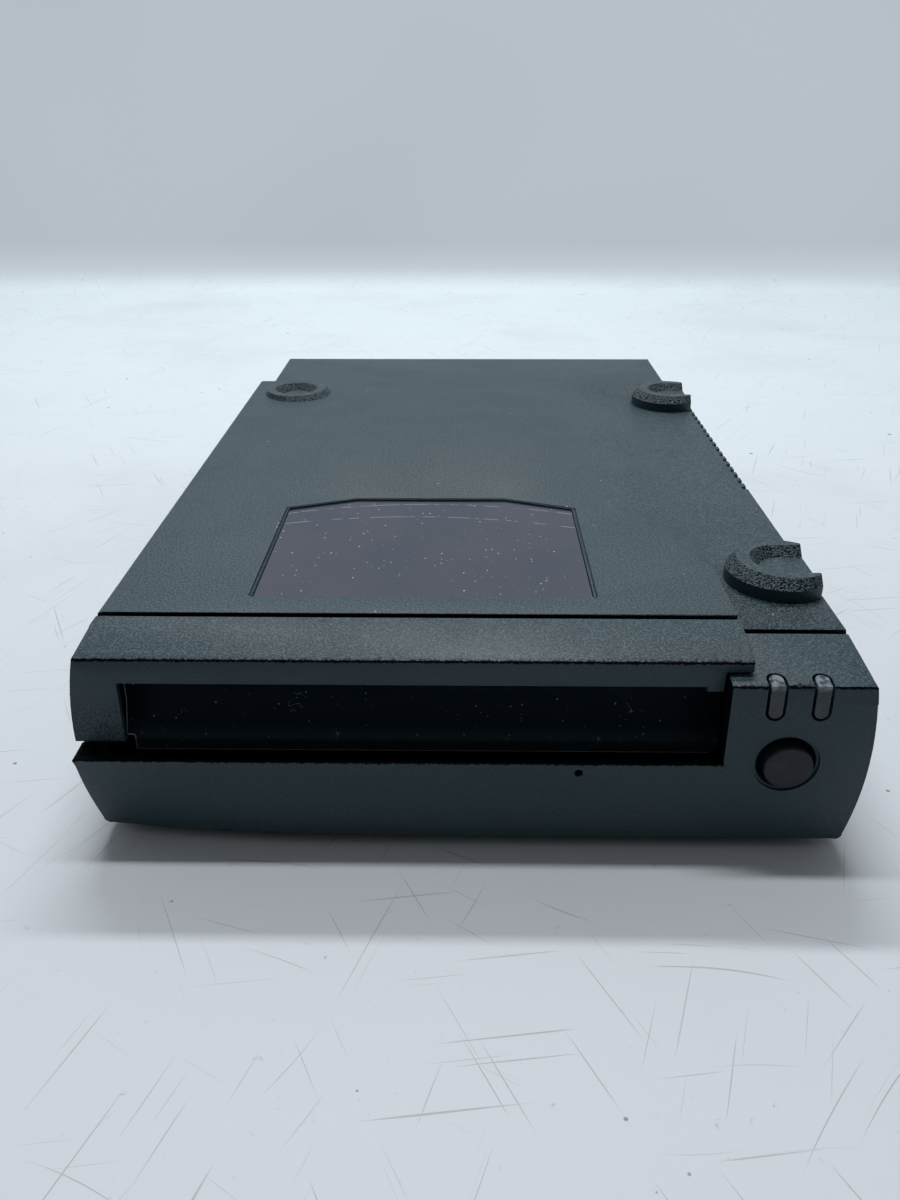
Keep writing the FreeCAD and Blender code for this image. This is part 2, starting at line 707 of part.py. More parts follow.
vent = cover.pocket("XY", size.vent_bottom, lid_z, rectangle(
    (side_x(strip_z) - size.vent_depth, far_out),
    (vent_y - size.vent_width / 2, vent_y + size.vent_width / 2)))
cover.repeat(vent, "Y", size.vent_pitch, size.vent_count)
slit = cover.pocket("XY", size.vent_bottom + size.slit_margin, size.slit_top, rectangle(
    (side_x(strip_z, size.wall) - size.wall, far_out),
    (vent_y - size.slit_width / 2, vent_y + size.slit_width / 2)))
cover.repeat(slit, "Y", size.vent_pitch, size.vent_count)
for x, y in POSTS:
    cover.pad("XY", size.parting_height, low_ceiling_z, [(x, y, size.post_radius)])
    cover.pocket("XY", size.parting_height, low_ceiling_z - size.wall,
                 [(x, y, size.screw_radius + size.screw_gap)])
cover.keep()

# Bottom case
floor_z = bottom_z + size.wall
bottom = Piece("bottom_case")
bottom.pad("XZ", seam_back, shoulder_y, band(bottom_z, size.parting_height))
bottom.pad("XZ", shoulder_y, rear_y, band(bottom_z, size.parting_height, size.hood_inset))
bottom.round_edges(size.edge_round, lambda edge: lies(edge, Z=bottom_z)
                   and edge.BoundBox.YLength > 1)
bottom.pocket("XZ", seam_back, shoulder_y - size.wall,
              band(floor_z, size.parting_height, size.wall))
bottom.pocket("XZ", shoulder_y - size.wall, rear_y,
              band(floor_z, size.parting_height, hood_wall))
for x, y in POSTS:
    bottom.pad("XY", floor_z, size.parting_height, [(x, y, size.post_radius)])
    bottom.pocket("XY", bottom_z, size.parting_height,
                  [(x, y, size.screw_radius + size.screw_gap)])
    bottom.pocket("XY", bottom_z, bottom_z + size.screw_head_thick + size.screw_gap,
                  [(x, y, size.screw_head + size.screw_gap)])
FEET = (FRONT_RING, REAR_RING, LEFT_RING, FRONT_LEFT_FOOT)
for x, y in FEET:
    bottom.pocket("XY", bottom_z, bottom_z + size.foot_recess,
                  [(x, y, size.foot_radius + size.foot_gap)])
bottom.keep()

node("rubber_feet", fuse("rubber_feet", *[
    rod(f"foot_{n}", "Z", spot, (0, bottom_z + size.foot_recess), size.foot_radius)
    for n, spot in enumerate(FEET)]))

# Front panel: an L of a beam under the slot and a block to its right
PANEL_TOP = size.ridge_height
panel_half = (PANEL_TOP - bottom_z) / 2
panel_middle = (PANEL_TOP + bottom_z) / 2
face_radius = ((panel_half * panel_half + size.face_bulge * size.face_bulge)
               / (2 * size.face_bulge))


def face_at(z):
    """Front face at a height: an arc that bulges forward at mid height."""
    rise = as_size(z) - panel_middle
    return face_y + face_radius - root(face_radius * face_radius - rise * rise)


def swept(z, left, inset=0):
    """How far the lower left front is swept back, and the arc that does it."""
    run = -size.sweep_start - left
    radius = size.sweep_radius + inset
    full = radius - root(radius * radius - run * run)
    sweep = full * (size.beam_height - z) / (size.beam_height - bottom_z)
    return sweep, (run * run + sweep * sweep) / (2 * sweep)


def beam_section(z, inset, back, right):
    """Plan of the beam's inside at a height."""
    left, front = size.panel_inset - side_x(z, inset), face_at(z) + inset
    sweep, radius = swept(z, left)
    return [(left, back), (left, front + sweep, radius), (-size.sweep_start, front),
            (right, front), (right, back)]


def above_line(start, end, top):
    """Upright outline over a sloping line."""
    return [start, end, (end[0], top), (start[0], top)]


ahead = face_y - 5
tongue_back = seam_back + size.tongue_length
inner_back = tongue_back + 1
lap = size.wall + size.lap_gap
lap_radius = side_radius - lap
inside_radius = side_radius - size.panel_wall
panel_roof = size.ridge_height - size.wall
just_under_beam, just_over_beam = size.beam_height - 0.1, size.beam_height + 0.01
OVERLAP = 0.5

side_bulge = size.side_bulge - size.panel_inset
panel_side_radius = (half_tall * half_tall + side_bulge * side_bulge) / (2 * side_bulge)

panel = Piece("front_panel_moulding")
end_x = side_x(bottom_z)
panel.pad("XZ", face_y, seam_front, [
    (-end_x, bottom_z), (end_x, bottom_z, panel_side_radius),
    (end_x, lid_z), (-end_x, lid_z, panel_side_radius),
])
panel.round_edges(size.edge_round * 2, lambda edge: lies(edge, Z=bottom_z)
                  and edge.BoundBox.YLength > 1)
panel.pocket("YZ", -far_out, far_out, [
    (ahead, bottom_z - 0.1), (face_at(bottom_z - 0.1), bottom_z - 0.1, -face_radius),
    (face_at(PANEL_TOP), PANEL_TOP), (ridge_y, above), (ahead, above),
])
sweep_levels = [bottom_z, bottom_z + 6, bottom_z + 12, just_under_beam]
sweep_outlines = []
for z in sweep_levels:
    sweep, radius = swept(z, -far_out / 2)
    sweep_outlines.append((z, [
        (-far_out / 2, ahead), (-size.sweep_start, ahead), (-size.sweep_start, face_at(z), -radius),
        (-far_out / 2, face_at(z) + sweep),
    ]))
panel.loft("XY", sweep_outlines, subtract=True)
panel.pocket("YZ", -far_out, far_out,
             above_line((ridge_y, size.ridge_height), (seam_front, strip_z), above))
panel.pocket("XZ", ahead, seam_front, rectangle((-far_out, slot_right), (size.beam_height, above)))
tongue_low, tongue_high = bottom_z + lap, strip_z - lap
panel.pad("XZ", seam_front - 1, tongue_back, [
    (-side_x(tongue_low, lap), tongue_low), (side_x(tongue_low, lap), tongue_low, lap_radius),
    (side_x(tongue_high, lap), tongue_high), (slot_right, tongue_high),
    (slot_right, size.beam_height), (-side_x(size.beam_height, lap), size.beam_height, lap_radius),
])
cavity_floor = bottom_z + size.panel_wall
cavity_levels = [cavity_floor, cavity_floor + 6, just_under_beam]
panel.loft("XY", [(z, beam_section(z, size.panel_wall, inner_back, side_x(z, size.panel_wall)))
                  for z in cavity_levels], subtract=True)
lip_floor = size.beam_height - size.beam_lip_depth
hollow_back, hollow_levels = face_y + size.beam_hollow, (lip_floor, lip_floor + 2.5, just_over_beam)
panel.loft("XY", [(z, beam_section(z, size.beam_lip, hollow_back, slot_right))
                  for z in hollow_levels], subtract=True)
roof_left = size.panel_inset + size.panel_wall + OVERLAP - side_x(size.beam_height)
panel.pocket("XZ", hollow_back - OVERLAP, inner_back, rectangle(
    (roof_left, slot_right), (just_under_beam - OVERLAP, size.beam_height + OVERLAP)))
block_left = slot_right + size.panel_wall
sleeve_inner = size.button_flange + size.sleeve_gap
sleeve_outer = sleeve_inner + size.sleeve_wall
sleeve_room = (size.button_place + sleeve_outer + 0.6, size.button_height - sleeve_outer - 0.6)
panel.pocket("XZ", face_y + size.panel_wall, inner_back, [
    (block_left, sleeve_room[1]), sleeve_room, (sleeve_room[0], just_under_beam),
    (side_x(just_under_beam, size.panel_wall), just_under_beam, inside_radius),
    (side_x(panel_roof, size.panel_wall), panel_roof), (block_left, panel_roof),
])
panel.pocket("XZ", face_y + size.post_depth, inner_back,
             rectangle((-far_out, block_left), (just_under_beam, panel_roof)))
top_slope = (strip_z - size.ridge_height) / (seam_front - ridge_y)


def panel_top(y):
    """Top of the front panel's right block."""
    return size.ridge_height + top_slope * (y - ridge_y)


panel.pocket("YZ", slot_right - 1, block_left, [
    (face_y + size.post_depth, panel_roof - 0.1), (inner_back, panel_roof - 0.1),
    (inner_back, tongue_high + 0.1), (seam_front, panel_top(seam_front) - size.thin_roof),
    (face_y + size.post_depth, panel_top(face_y + size.post_depth) - size.thin_roof),
])
button_spot = (size.button_place, size.button_height)
wall_back = face_y + size.panel_wall
panel.pocket("XZ", ahead, wall_back, [(*button_spot, size.button_hole)])
panel.pocket("XZ", ahead, face_y + size.button_rim_depth, [(*button_spot, size.button_rim)])
panel.pocket("XZ", ahead, wall_back,
             [(size.pinhole_place, size.pinhole_height, size.pinhole_radius)])
PIPES = {"left": size.pipe_left, "right": size.pipe_left + size.pipe_spacing}


def pipe_shape(name, x, grow):
    """The run of a light pipe, round at its lower and its rear end."""
    half = size.pipe_width / 2 + grow
    low = size.pipe_bottom - grow
    back = ridge_y + size.pipe_reach + grow
    sides = (x - half, x + half)
    front_run = fuse(f"{name}_front",
                     box(f"{name}_front_bar", sides, (ahead, back), (low + half, above)),
                     rod(f"{name}_front_end", "Y", (x, low + half), (ahead, back), half))
    top_run = fuse(f"{name}_top",
                   box(f"{name}_top_bar", sides, (ahead, back - half), (low, above)),
                   rod(f"{name}_top_end", "Z", (x, back - half), (low, above), half))
    return common(f"{name}_run", front_run, top_run)


button_sleeve = tube("button_sleeve", "Y", button_spot,
                     (wall_back, wall_back + size.panel_wall), sleeve_outer, sleeve_inner)
node("front_panel", cut("front_panel", fuse("panel_with_sleeve", panel.body, button_sleeve),
                        *[pipe_shape(f"pipe_hole_{side}", x, size.pipe_groove)
                          for side, x in PIPES.items()]))

board_front = face_y + size.front_board_back
lamp_y = board_front - 1.75
lamp_z = (size.pipe_bottom + size.front_board_top) / 2
for side, x in PIPES.items():
    skin = Piece(f"pipe_skin_{side}")
    back_y = ridge_y + size.pipe_reach
    skin.pad("YZ", x - size.pipe_width, x + size.pipe_width, [
        (face_at(size.pipe_bottom), size.pipe_bottom), (back_y, size.pipe_bottom),
        (back_y, panel_top(back_y)), (ridge_y, size.ridge_height, face_radius),
    ])
    stem = box(f"pipe_stem_{side}", (x - 0.9, x + 0.9), (back_y - 1, lamp_y - size.body_gap),
               (lamp_z - 0.8, lamp_z + 0.8))
    outer = common(f"pipe_outer_{side}", skin.body, pipe_shape(f"pipe_{side}", x, 0))
    node(f"light_pipe_{side}", fuse(f"light_pipe_{side}", outer, stem))

# Slot visor
visor_y = face_y + size.visor_setback
visor = Piece("slot_visor")
visor_right = slot_right - size.visor_undercut
visor_block = visor_right - size.visor_block_width
tip_low = size.ridge_height - 1
visor.pad("XZ", visor_y, seam_front, [
    (-side_x(size.visor_leg_bottom), size.visor_leg_bottom), (slot_left, size.visor_leg_bottom),
    (slot_left, size.visor_lip), (visor_block, size.visor_lip),
    (visor_block, size.visor_lip - size.visor_block_drop),
    (visor_right, size.visor_lip - size.visor_block_drop),
    (visor_right, tip_low), (size.step_place, tip_low), (size.step_place, lid_z),
    (-side_x(lid_z), lid_z, side_radius),
])
visor.round_edges(size.edge_round, lambda edge: lies(edge, Z=lid_z, X=-side_x(lid_z)))
visor.pocket("YZ", -far_out, far_out,
             above_line((visor_y, size.visor_ridge), (seam_front, lid_z), above))
visor.pocket("YZ", visor_right, far_out, [
    (visor_y, tip_low), (seam_front, tip_low), (seam_front, strip_z + size.visor_undercut),
    (visor_y, panel_top(visor_y) + size.visor_undercut),
])
visor.pad("XZ", seam_front - 1, tongue_back, [
    (-side_x(size.visor_leg_bottom, lap), size.visor_leg_bottom),
    (slot_left, size.visor_leg_bottom), (slot_left, size.visor_ceiling),
    (size.ramp_left - size.wall, size.visor_ceiling), (size.ramp_left - size.wall, lid_z - lap),
    (-side_x(lid_z - lap, lap), lid_z - lap, lap_radius),
])
visor.pocket("XZ", visor_y + size.visor_wall, inner_back, [
    (-side_x(size.visor_leg_bottom, size.panel_wall), size.visor_leg_bottom),
    (visor_right, size.visor_leg_bottom), (visor_right, size.visor_ceiling),
    (-side_x(size.visor_ceiling, size.panel_wall), size.visor_ceiling, inside_radius),
])
visor.keep()

# Window pane
pane = Piece("viewing_window")
pane.pad("XY", ceiling_z, ceiling_z + size.pane_thick, window_outline())
pane.keep()

# Dust door, hung from pins at its top
door_left = -size.slot_centre - size.door_width / 2
door_right = -size.slot_centre + size.door_width / 2
door_y = face_y + size.door_back
door_low_y = door_y - size.door_lean
hinge_y = door_y + size.door_thick / 2
hinge_spot = (hinge_y, size.hinge_height)
knuckle = size.hinge_radius + size.hinge_knuckle
frame_left = door_left - size.frame_gap
frame_right = door_right + size.frame_gap
spring_room = 6.0
door = Piece("door_leaf")
door.pad("YZ", door_left, door_right, [
    (door_y, size.hinge_height), (door_y, size.door_bend_height),
    (door_low_y, size.door_low_height), (door_low_y, size.door_bottom),
    (door_low_y + size.door_thick, size.door_bottom),
    (door_low_y + size.door_thick, size.door_low_height),
    (door_y + size.door_thick, size.door_bend_height),
    (door_y + size.door_thick, size.hinge_height),
])
door.pocket("XZ", ahead, door_y + 5, rectangle(
    (door_left, door_left + spring_room), (size.hinge_height - knuckle - 0.3,
                                           size.hinge_height)))
door.pad("YZ", door_left + spring_room, door_right, [(*hinge_spot, knuckle)])
door.pad("YZ", door_left - size.frame_gap - size.frame_wall * 0.8,
         door_right + size.frame_gap + size.frame_wall * 0.8,
         [(*hinge_spot, size.hinge_radius)])
door.pocket("XZ", ahead, door_y + 5, rectangle(
    (door_left, door_left + size.door_notch_width),
    (size.door_bottom, size.door_bottom + size.door_notch_height)))
door.pocket("XZ", ahead, door_y + 5, [
    (door_right - size.door_corner, size.door_bottom), (door_right, size.door_bottom),
    (door_right, size.door_bottom + size.door_corner),
])
node("dust_door", door.body)
spring_inner = size.hinge_radius + size.hinge_gap
node("door_spring", tube("door_spring", "X", hinge_spot,
                         (door_left + 0.3, door_left + spring_room - 0.3),
                         spring_inner + 0.35, spring_inner))

# Slot frame: a black tunnel behind the slot, which carries the door
frame_front = face_y + size.post_depth + size.body_gap
frame_back = face_y + size.frame_back
frame_outer = (frame_left - size.frame_wall, frame_right + size.frame_wall)
ramp_y = face_y + size.frame_ramp_start
frame_low = size.frame_floor - size.frame_wall
roof_low = size.frame_roof - 1.0
roof_front = hinge_y + knuckle + size.body_gap
side_drop = size.thin_roof + size.lap_gap
frame = Piece("slot_frame")
frame.pad("YZ", frame_outer[0], frame_outer[1], [
    (frame_front, frame_low), (frame_back, frame_low), (frame_back, size.frame_roof),
    (roof_front, size.frame_roof), (roof_front, panel_top(roof_front) - side_drop),
    (frame_front, panel_top(frame_front) - side_drop),
])
frame.pocket("YZ", frame_left, frame_right, [
    (frame_front, size.frame_floor), (ramp_y, size.frame_floor),
    (frame_back - 3, size.beam_height), (frame_back, size.beam_height),
    (frame_back, roof_low), (roof_front, roof_low),
    (roof_front, size.frame_roof), (frame_front, size.frame_roof),
])
frame.pocket("YZ", size.ramp_left + 10, frame_outer[1],
             rectangle((roof_front, frame_back), (roof_low, size.frame_roof)))
frame.pocket("YZ", frame_outer[0], frame_outer[1],
             [(*hinge_spot, size.hinge_radius + size.hinge_gap)])
pin_way = size.sled_tab_width / 2 + 0.7
frame.pocket("XZ", face_y + size.sled_tab_back - size.sled_travel - 0.7, frame_back, rectangle(
    (size.pinhole_place - pin_way, size.pinhole_place + pin_way),
    (frame_low, size.beam_height)))
frame.keep()

# Eject button, its spring, its switch and the front board
button = Piece("eject_button")
button_y = face_y - size.button_proud
flange_front = wall_back + 2 * size.body_gap
flange_back = flange_front + size.button_flange_thick
nub_y = board_front - 2.75
stem_end = nub_y - size.button_travel - size.body_gap
button.pad("XZ", button_y, flange_front + 0.1, [(*button_spot, size.button_radius)])
button.round_edges(0.45, lambda edge: lies(edge, Y=button_y))
button.pad("XZ", flange_front, flange_back, [(*button_spot, size.button_flange)])
button.pad("XZ", flange_back - 0.1, stem_end, [(*button_spot, 1.5)])
button.keep()
node("button_spring", tube("button_spring", "Y", button_spot, (flange_back, board_front),
                           4.6, 4.1))
board_middle = size.pipe_left + size.pipe_spacing / 2
board_sides = (board_middle - size.front_board_width / 2, board_middle + size.front_board_width / 2)
node("front_board", box("front_board", board_sides, (board_front, board_front + size.board_thick),
                        (size.front_board_bottom, size.front_board_top)))
bx, bz = button_spot
node("eject_switch", fuse(
    "eject_switch",
    box("switch_case", (bx - 2.25, bx + 2.25), (board_front - 2, board_front),
        (bz - 2.25, bz + 2.25)),
    rod("switch_nub", "Y", button_spot, (nub_y, board_front - 1.9), 1.2)))
node("status_lamps", fuse("status_lamps", *[
    box(f"lamp_{side}", (x - 1.25, x + 1.25), (lamp_y, board_front), (lamp_z - 1, lamp_z + 1))
    for side, x in PIPES.items()]))

# Mechanism: base casting, sheet cover, guides, boards
deck_left = -size.slot_centre - size.deck_width / 2
deck_right = -size.slot_centre + size.deck_width / 2
deck_sides = (deck_left, deck_right)
deck_front = face_y + size.deck_front
deck_back = deck_front + size.deck_length
deck_top = low_ceiling_z - size.deck_top_gap
deck_bottom = deck_top - size.deck_height
deck_inner = (deck_left + size.deck_wall, deck_right - size.deck_wall)
plate_low = deck_bottom + size.deck_floor_rise
plate_top = plate_low + size.deck_floor
rim_z = deck_top - size.lid_sheet
spindle = (-size.slot_centre, face_y + size.disk_back)
pivot = (size.pivot_place, face_y + size.pivot_back)
sx, sy = spindle
px, py = pivot
window_half = size.sled_half_width + 1
sled_front = sy - size.sled_reach
sled_back = sy + size.sled_reach
board_low = deck_bottom + 1.4
board_top = board_low + size.board_thick
drive_board_front = sled_back + 26
drive_board_back = deck_back - 4.5
drive_board_sides = (deck_inner[0] + 3.5, deck_inner[1] - 3.5)
STANDOFFS = [(x, y) for x in (drive_board_sides[0] + 4, drive_board_sides[1] - 4)
             for y in (drive_board_front + 4, drive_board_back - 4)]
fixing_z = deck_bottom + 2.4
FIXINGS = [deck_front + 30, deck_back - 30]
spring_post = (sx, sled_back + 15)
shell = fuse("casting_solid",
             box("casting_left", (deck_left, deck_inner[0]), (deck_front, deck_back),
                 (deck_bottom, rim_z)),
             box("casting_right", (deck_inner[1], deck_right), (deck_front, deck_back),
                 (deck_bottom, rim_z)),
             box("casting_floor", deck_sides, (deck_front, deck_back), (plate_low, plate_top)),
             box("casting_rear", deck_sides, (deck_back - 1.5, deck_back), (plate_low, rim_z)),
             rod("casting_spring_post", "Z", spring_post, (deck_bottom + 0.5, plate_low + 0.5), 1.2),
             *[rod(f"standoff_{n}", "Z", spot, (board_top, plate_low + 0.5), 2.2)
               for n, spot in enumerate(STANDOFFS)])
node("base_casting", cut(
    "base_casting", shell,
    box("motor_opening", (sx - window_half, sx + window_half),
        (sled_front - size.sled_travel - 1, sled_back + 1), (plate_low - 1, plate_top + 1)),
    *[rod(f"fixing_hole_{n}", "X", (y, fixing_z), (deck_left - 1, deck_right + 1),
          size.screw_radius + size.screw_gap) for n, y in enumerate(FIXINGS)]))
node("mechanism_cover", cut(
    "mechanism_cover",
    box("cover_sheet", deck_sides, (deck_front, deck_back), (rim_z, deck_top)),
    box("cover_opening", (-size.window_left - 2, size.window_right + 2),
        (deck_front - 1, face_y + size.window_front + size.window_length + 2),
        (rim_z - 1, deck_top + 1))))
guide_y = (deck_front + 0.5, face_y + size.guide_back)
guide_z = (plate_top, size.ledge_top)
node("cartridge_guide_left", box("cartridge_guide_left",
                                 (deck_inner[0], deck_inner[0] + size.ledge_reach), guide_y, guide_z))
node("cartridge_guide_right", box("cartridge_guide_right",
                                  (deck_inner[1] - size.ledge_reach, deck_inner[1]),
                                  guide_y, guide_z))
node("drive_board", box("drive_board", drive_board_sides, (drive_board_front, drive_board_back),
                        (board_low, board_top)))
chips = []
for n, (dx, dy, width, length) in enumerate([(-30, 14, 20, 20), (0, 16, 14, 20), (24, 12, 10, 10),
                                             (26, 34, 16, 10), (-4, 42, 12, 8)]):
    chip_x = sx + dx
    chip_y = drive_board_front + dy
    chips.append(box(f"chip_{n}", (chip_x - width / 2, chip_x + width / 2),
                     (chip_y - length / 2, chip_y + length / 2), (board_low - 1.6, board_low)))
node("board_chips", fuse("board_chips", *chips))
node("drive_connector", box("drive_connector", (sx - 34, sx + 16),
                            (drive_board_back, deck_back + 3), (board_low - 0.6, plate_low - 0.3)))

# Spindle motor on its carrier, which the sled lifts
carrier_z = deck_bottom + size.carrier_rise
carrier_top = carrier_z + size.carrier_thick
pin_z = carrier_z + size.carrier_thick / 2
shaft_top = size.hub_top - 0.4
pins = [rod(f"lift_pin_{a}_{b}", "X", (sy + a * size.pin_spread, pin_z),
            (sx + 16, sx + size.sled_half_width + 0.3) if b > 0
            else (sx - size.sled_half_width - 0.3, sx - 16), size.pin_radius)
        for a in (-1, 1) for b in (-1, 1)]
node("motor_carrier", fuse(
    "motor_carrier",
    rod("carrier_plate", "Z", spindle, (carrier_z, carrier_top), size.carrier_radius), *pins))
node("motor_stator", fuse(
    "motor_stator",
    rod("stator_core", "Z", spindle, (carrier_top, carrier_top + size.stator_height),
        size.stator_radius),
    rod("spindle_shaft", "Z", spindle, (carrier_top, shaft_top), size.shaft_radius)))
hub_disc_low = size.hub_top - size.hub_disc
hub_low = carrier_top + 0.5
skirt_inner = size.hub_radius - size.hub_wall
node("spindle_hub", cut(
    "spindle_hub",
    fuse("hub_solid",
         rod("hub_cup", "Z", spindle, (hub_low, size.hub_top), size.hub_radius),
         rod("hub_boss", "Z", spindle, (size.hub_top - 0.1, size.hub_top + size.hub_boss_rise),
             size.hub_boss)),
    rod("hub_hollow", "Z", spindle, (hub_low - 1, hub_disc_low), skirt_inner),
    rod("hub_bore", "Z", spindle, (hub_low - 1, shaft_top + 0.2),
        size.shaft_radius + size.shaft_gap)))
node("rotor_magnet", tube("rotor_magnet", "Z", spindle, (hub_low, hub_disc_low - 0.3),
                          skirt_inner, skirt_inner - size.magnet_ring))

# Eject sled: slides under the motor, its sloping slots lift the carrier's pins
sled_z = (deck_bottom + size.sled_rise, deck_bottom + size.sled_rise + size.sled_plate)
cheek_in = size.sled_half_width - size.sled_cheek
sled_run = root(size.sled_travel * size.sled_travel + size.lift_height * size.lift_height)
run_y, run_z = size.sled_travel / sled_run, size.lift_height / sled_run
slot_half = size.pin_radius + size.pin_gap
sled = Piece("eject_sled_sheet")
sled.pad("XY", sled_z[0], sled_z[1], rectangle(
    (sx - size.sled_half_width, sx + size.sled_half_width), (sled_front, sled_back)))
cheek_top = plate_top + 2.8
for name, low, high in (("left", -size.sled_half_width, -cheek_in),
                        ("right", cheek_in, size.sled_half_width)):
    sled.pad("YZ", sx + low, sx + high, rectangle((sled_front, sled_back), (sled_z[0], cheek_top)))
for side in (-1, 1):
    start = (sy + side * size.pin_spread, pin_z)
    end = (start[0] + size.sled_travel, start[1] + size.lift_height)
    sled.pocket("YZ", sx - size.sled_half_width - 1, sx + size.sled_half_width + 1, [
        (start[0] - slot_half * (run_y - run_z), start[1] - slot_half * (run_z + run_y)),
        (end[0] + slot_half * (run_y + run_z), end[1] + slot_half * (run_z - run_y)),
        (end[0] + slot_half * (run_y - run_z), end[1] + slot_half * (run_z + run_y)),
        (start[0] - slot_half * (run_y + run_z), start[1] - slot_half * (run_z - run_y)),
    ])
tab_half = size.sled_tab_width / 2
tab_sides = (size.pinhole_place - tab_half, size.pinhole_place + tab_half)
tab_y = face_y + size.sled_tab_back
plunger_x = sx + 37
plunger_z = sled_z[1] + 0.9
plunger_front = sled_front + 26
node("eject_sled", fuse(
    "eject_sled", sled.body,
    box("sled_bar", (sx + 10, tab_sides[1]), (sled_front, sled_front + 6), sled_z),
    box("sled_arm", tab_sides, (tab_y, sled_front + 6), sled_z),
    box("sled_tab", tab_sides, (tab_y, tab_y + 1.2), (sled_z[0], size.sled_tab_top)),
    box("sled_side_arm", (sx + 20, plunger_x + 2), (plunger_front - 5, plunger_front), sled_z),
    box("sled_side_tab", (plunger_x - 2, plunger_x + 2), (plunger_front - 1.2, plunger_front),
        (sled_z[0], plunger_z + 1.8))))
solenoid_front = plunger_front + 10
node("solenoid_plunger", rod("solenoid_plunger", "Y", (plunger_x, plunger_z),
                             (plunger_front, solenoid_front + 14), 1.2))
node("eject_solenoid", cut(
    "eject_solenoid",
    box("solenoid_case", (plunger_x - 7, plunger_x + 7), (solenoid_front, solenoid_front + 24),
        (deck_bottom + 0.3, plate_low)),
    rod("solenoid_bore", "Y", (plunger_x, plunger_z), (solenoid_front - 1, solenoid_front + 18),
        1.2 + size.shaft_gap * 2)))
node("sled_spring", tube("sled_spring", "Y", (sx, sled_z[1] + 0.6),
                         (sled_back, spring_post[1] - 1.2), 1.6, 1.2))

# Heads: pivot post, arm with four heads, voice coil between two arc magnets
arm_cos, arm_sin = cosine(size.arm_angle), sine(size.arm_angle)


def on_arm(reach, aside):
    """A place in plan, given along the parked arm and to its left."""
    return (px + arm_cos * reach - arm_sin * aside, py + arm_sin * reach + arm_cos * aside)


def arm_strip(near, far, near_half, far_half):
    return [on_arm(near, -near_half), on_arm(far, -far_half),
            on_arm(far, far_half), on_arm(near, near_half)]


node("pivot_post", rod("pivot_post", "Z", pivot, (plate_top, size.arm_top + 0.6),
                       size.pivot_radius))
arm_levels = [size.arm_first + n * size.arm_pitch for n in range(3)]
arm = Piece("head_arm")
arm.pad("XY", size.arm_bottom, size.arm_top, [(px, py, size.arm_hub_radius)])
half_arm = size.arm_thick / 2
for z in arm_levels:
    arm.pad("XY", z - half_arm, z + half_arm, arm_strip(3, 36, 5.5, 2.6))
    arm.pad("XY", z - 0.25, z + 0.25, arm_strip(34, size.arm_length + 1.5, 2.0, 0.8))
    arm.pad("XY", z - 0.6, z + 0.6,
            arm_strip(size.arm_length - 3, size.arm_length, 1.0, 1.0))
coil_z = arm_levels[1]
arm.pad("XY", coil_z - size.coil_thick / 2, coil_z + size.coil_thick / 2,
        arm_strip(-size.coil_inner, -3, 5.0, 6.5))
arm.pocket("XY", size.arm_bottom - 1, size.arm_top + 1,
           [(px, py, size.pivot_radius + size.shaft_gap)])
arm.keep()
coil = Piece("voice_coil")
coil.pad("XY", coil_z - size.coil_thick / 2, coil_z + size.coil_thick / 2,
         arm_strip(-size.coil_outer, -size.coil_inner, 8.6, 5.0))
coil.pocket("XY", coil_z - size.coil_thick, coil_z + size.coil_thick,
            arm_strip(-size.coil_outer + 3.5, -size.coil_inner - 3.5, 4.2, 2.4))
coil.keep()
magnet_low = coil_z - size.coil_thick / 2 - size.coil_gap
magnet_high = coil_z + size.coil_thick / 2 + size.coil_gap


def sector(inner, outer, start, end):
    """Plan of a ring segment about the head pivot, between two directions."""
    return [
        (px + outer * cosine(start), py + outer * sine(start), outer),
        (px + outer * cosine(end), py + outer * sine(end)),
        (px + inner * cosine(end), py + inner * sine(end), -inner),
        (px + inner * cosine(start), py + inner * sine(start)),
    ]


rest_turn = size.arm_angle - 180
yoke_start, yoke_end = rest_turn - 32, rest_turn + size.arm_swing + 30
for name, z_span in (
        ("magnet_plate_lower", (plate_top, magnet_low - size.magnet_thick)),
        ("magnet_plate_upper", (magnet_high + size.magnet_thick,
                                magnet_high + size.magnet_thick + size.yoke_thick))):
    slab = Piece(name)
    slab.pad("XY", *z_span, sector(size.magnet_inner, size.magnet_outer, yoke_start, yoke_end))
    slab.keep()
magnets = Piece("arc_magnets")
magnet_plan = sector(size.magnet_inner, size.magnet_outer, yoke_start + 22, yoke_end - 22)
magnets.pad("XY", magnet_low - size.magnet_thick, magnet_low, magnet_plan)
magnets.pad("XY", magnet_high, magnet_high + size.magnet_thick, magnet_plan)
magnets.keep()
posts = [rod(f"yoke_post_{n}", "Z",
             (px + 25 * cosine(turn), py + 25 * sine(turn)),
             (magnet_low - size.magnet_thick, magnet_high + size.magnet_thick), 1.5)
         for n, turn in enumerate((yoke_start + 5, yoke_end - 5))]
node("yoke_posts", fuse("yoke_posts", *posts))
tip_x, tip_y = on_arm(size.arm_length + 1.5, 0)
ramp_face = tip_x - 1.2
node("head_ramp", fuse(
    "head_ramp",
    box("ramp_block", (deck_inner[0], ramp_face), (tip_y - 2.5, tip_y + 6),
        (plate_top, arm_levels[2] + 2)),
    *[box(f"ramp_finger_{n}", (ramp_face - 0.1, tip_x + 1.0), (tip_y - 2.0, tip_y + 2.5),
          (z - 1.3, z - 0.5)) for n, z in enumerate(arm_levels)]))
flex_x = px - size.arm_hub_radius - 3.6
node("head_flex", fuse(
    "head_flex",
    box("flex_tail", (flex_x, flex_x + 0.4), (py + 6, py + 20), (plate_top, size.arm_top - 6)),
    box("flex_bend", (flex_x, px - 3.4), (py + 8.1, py + 8.5), (plate_top + 4, size.arm_top - 6))))

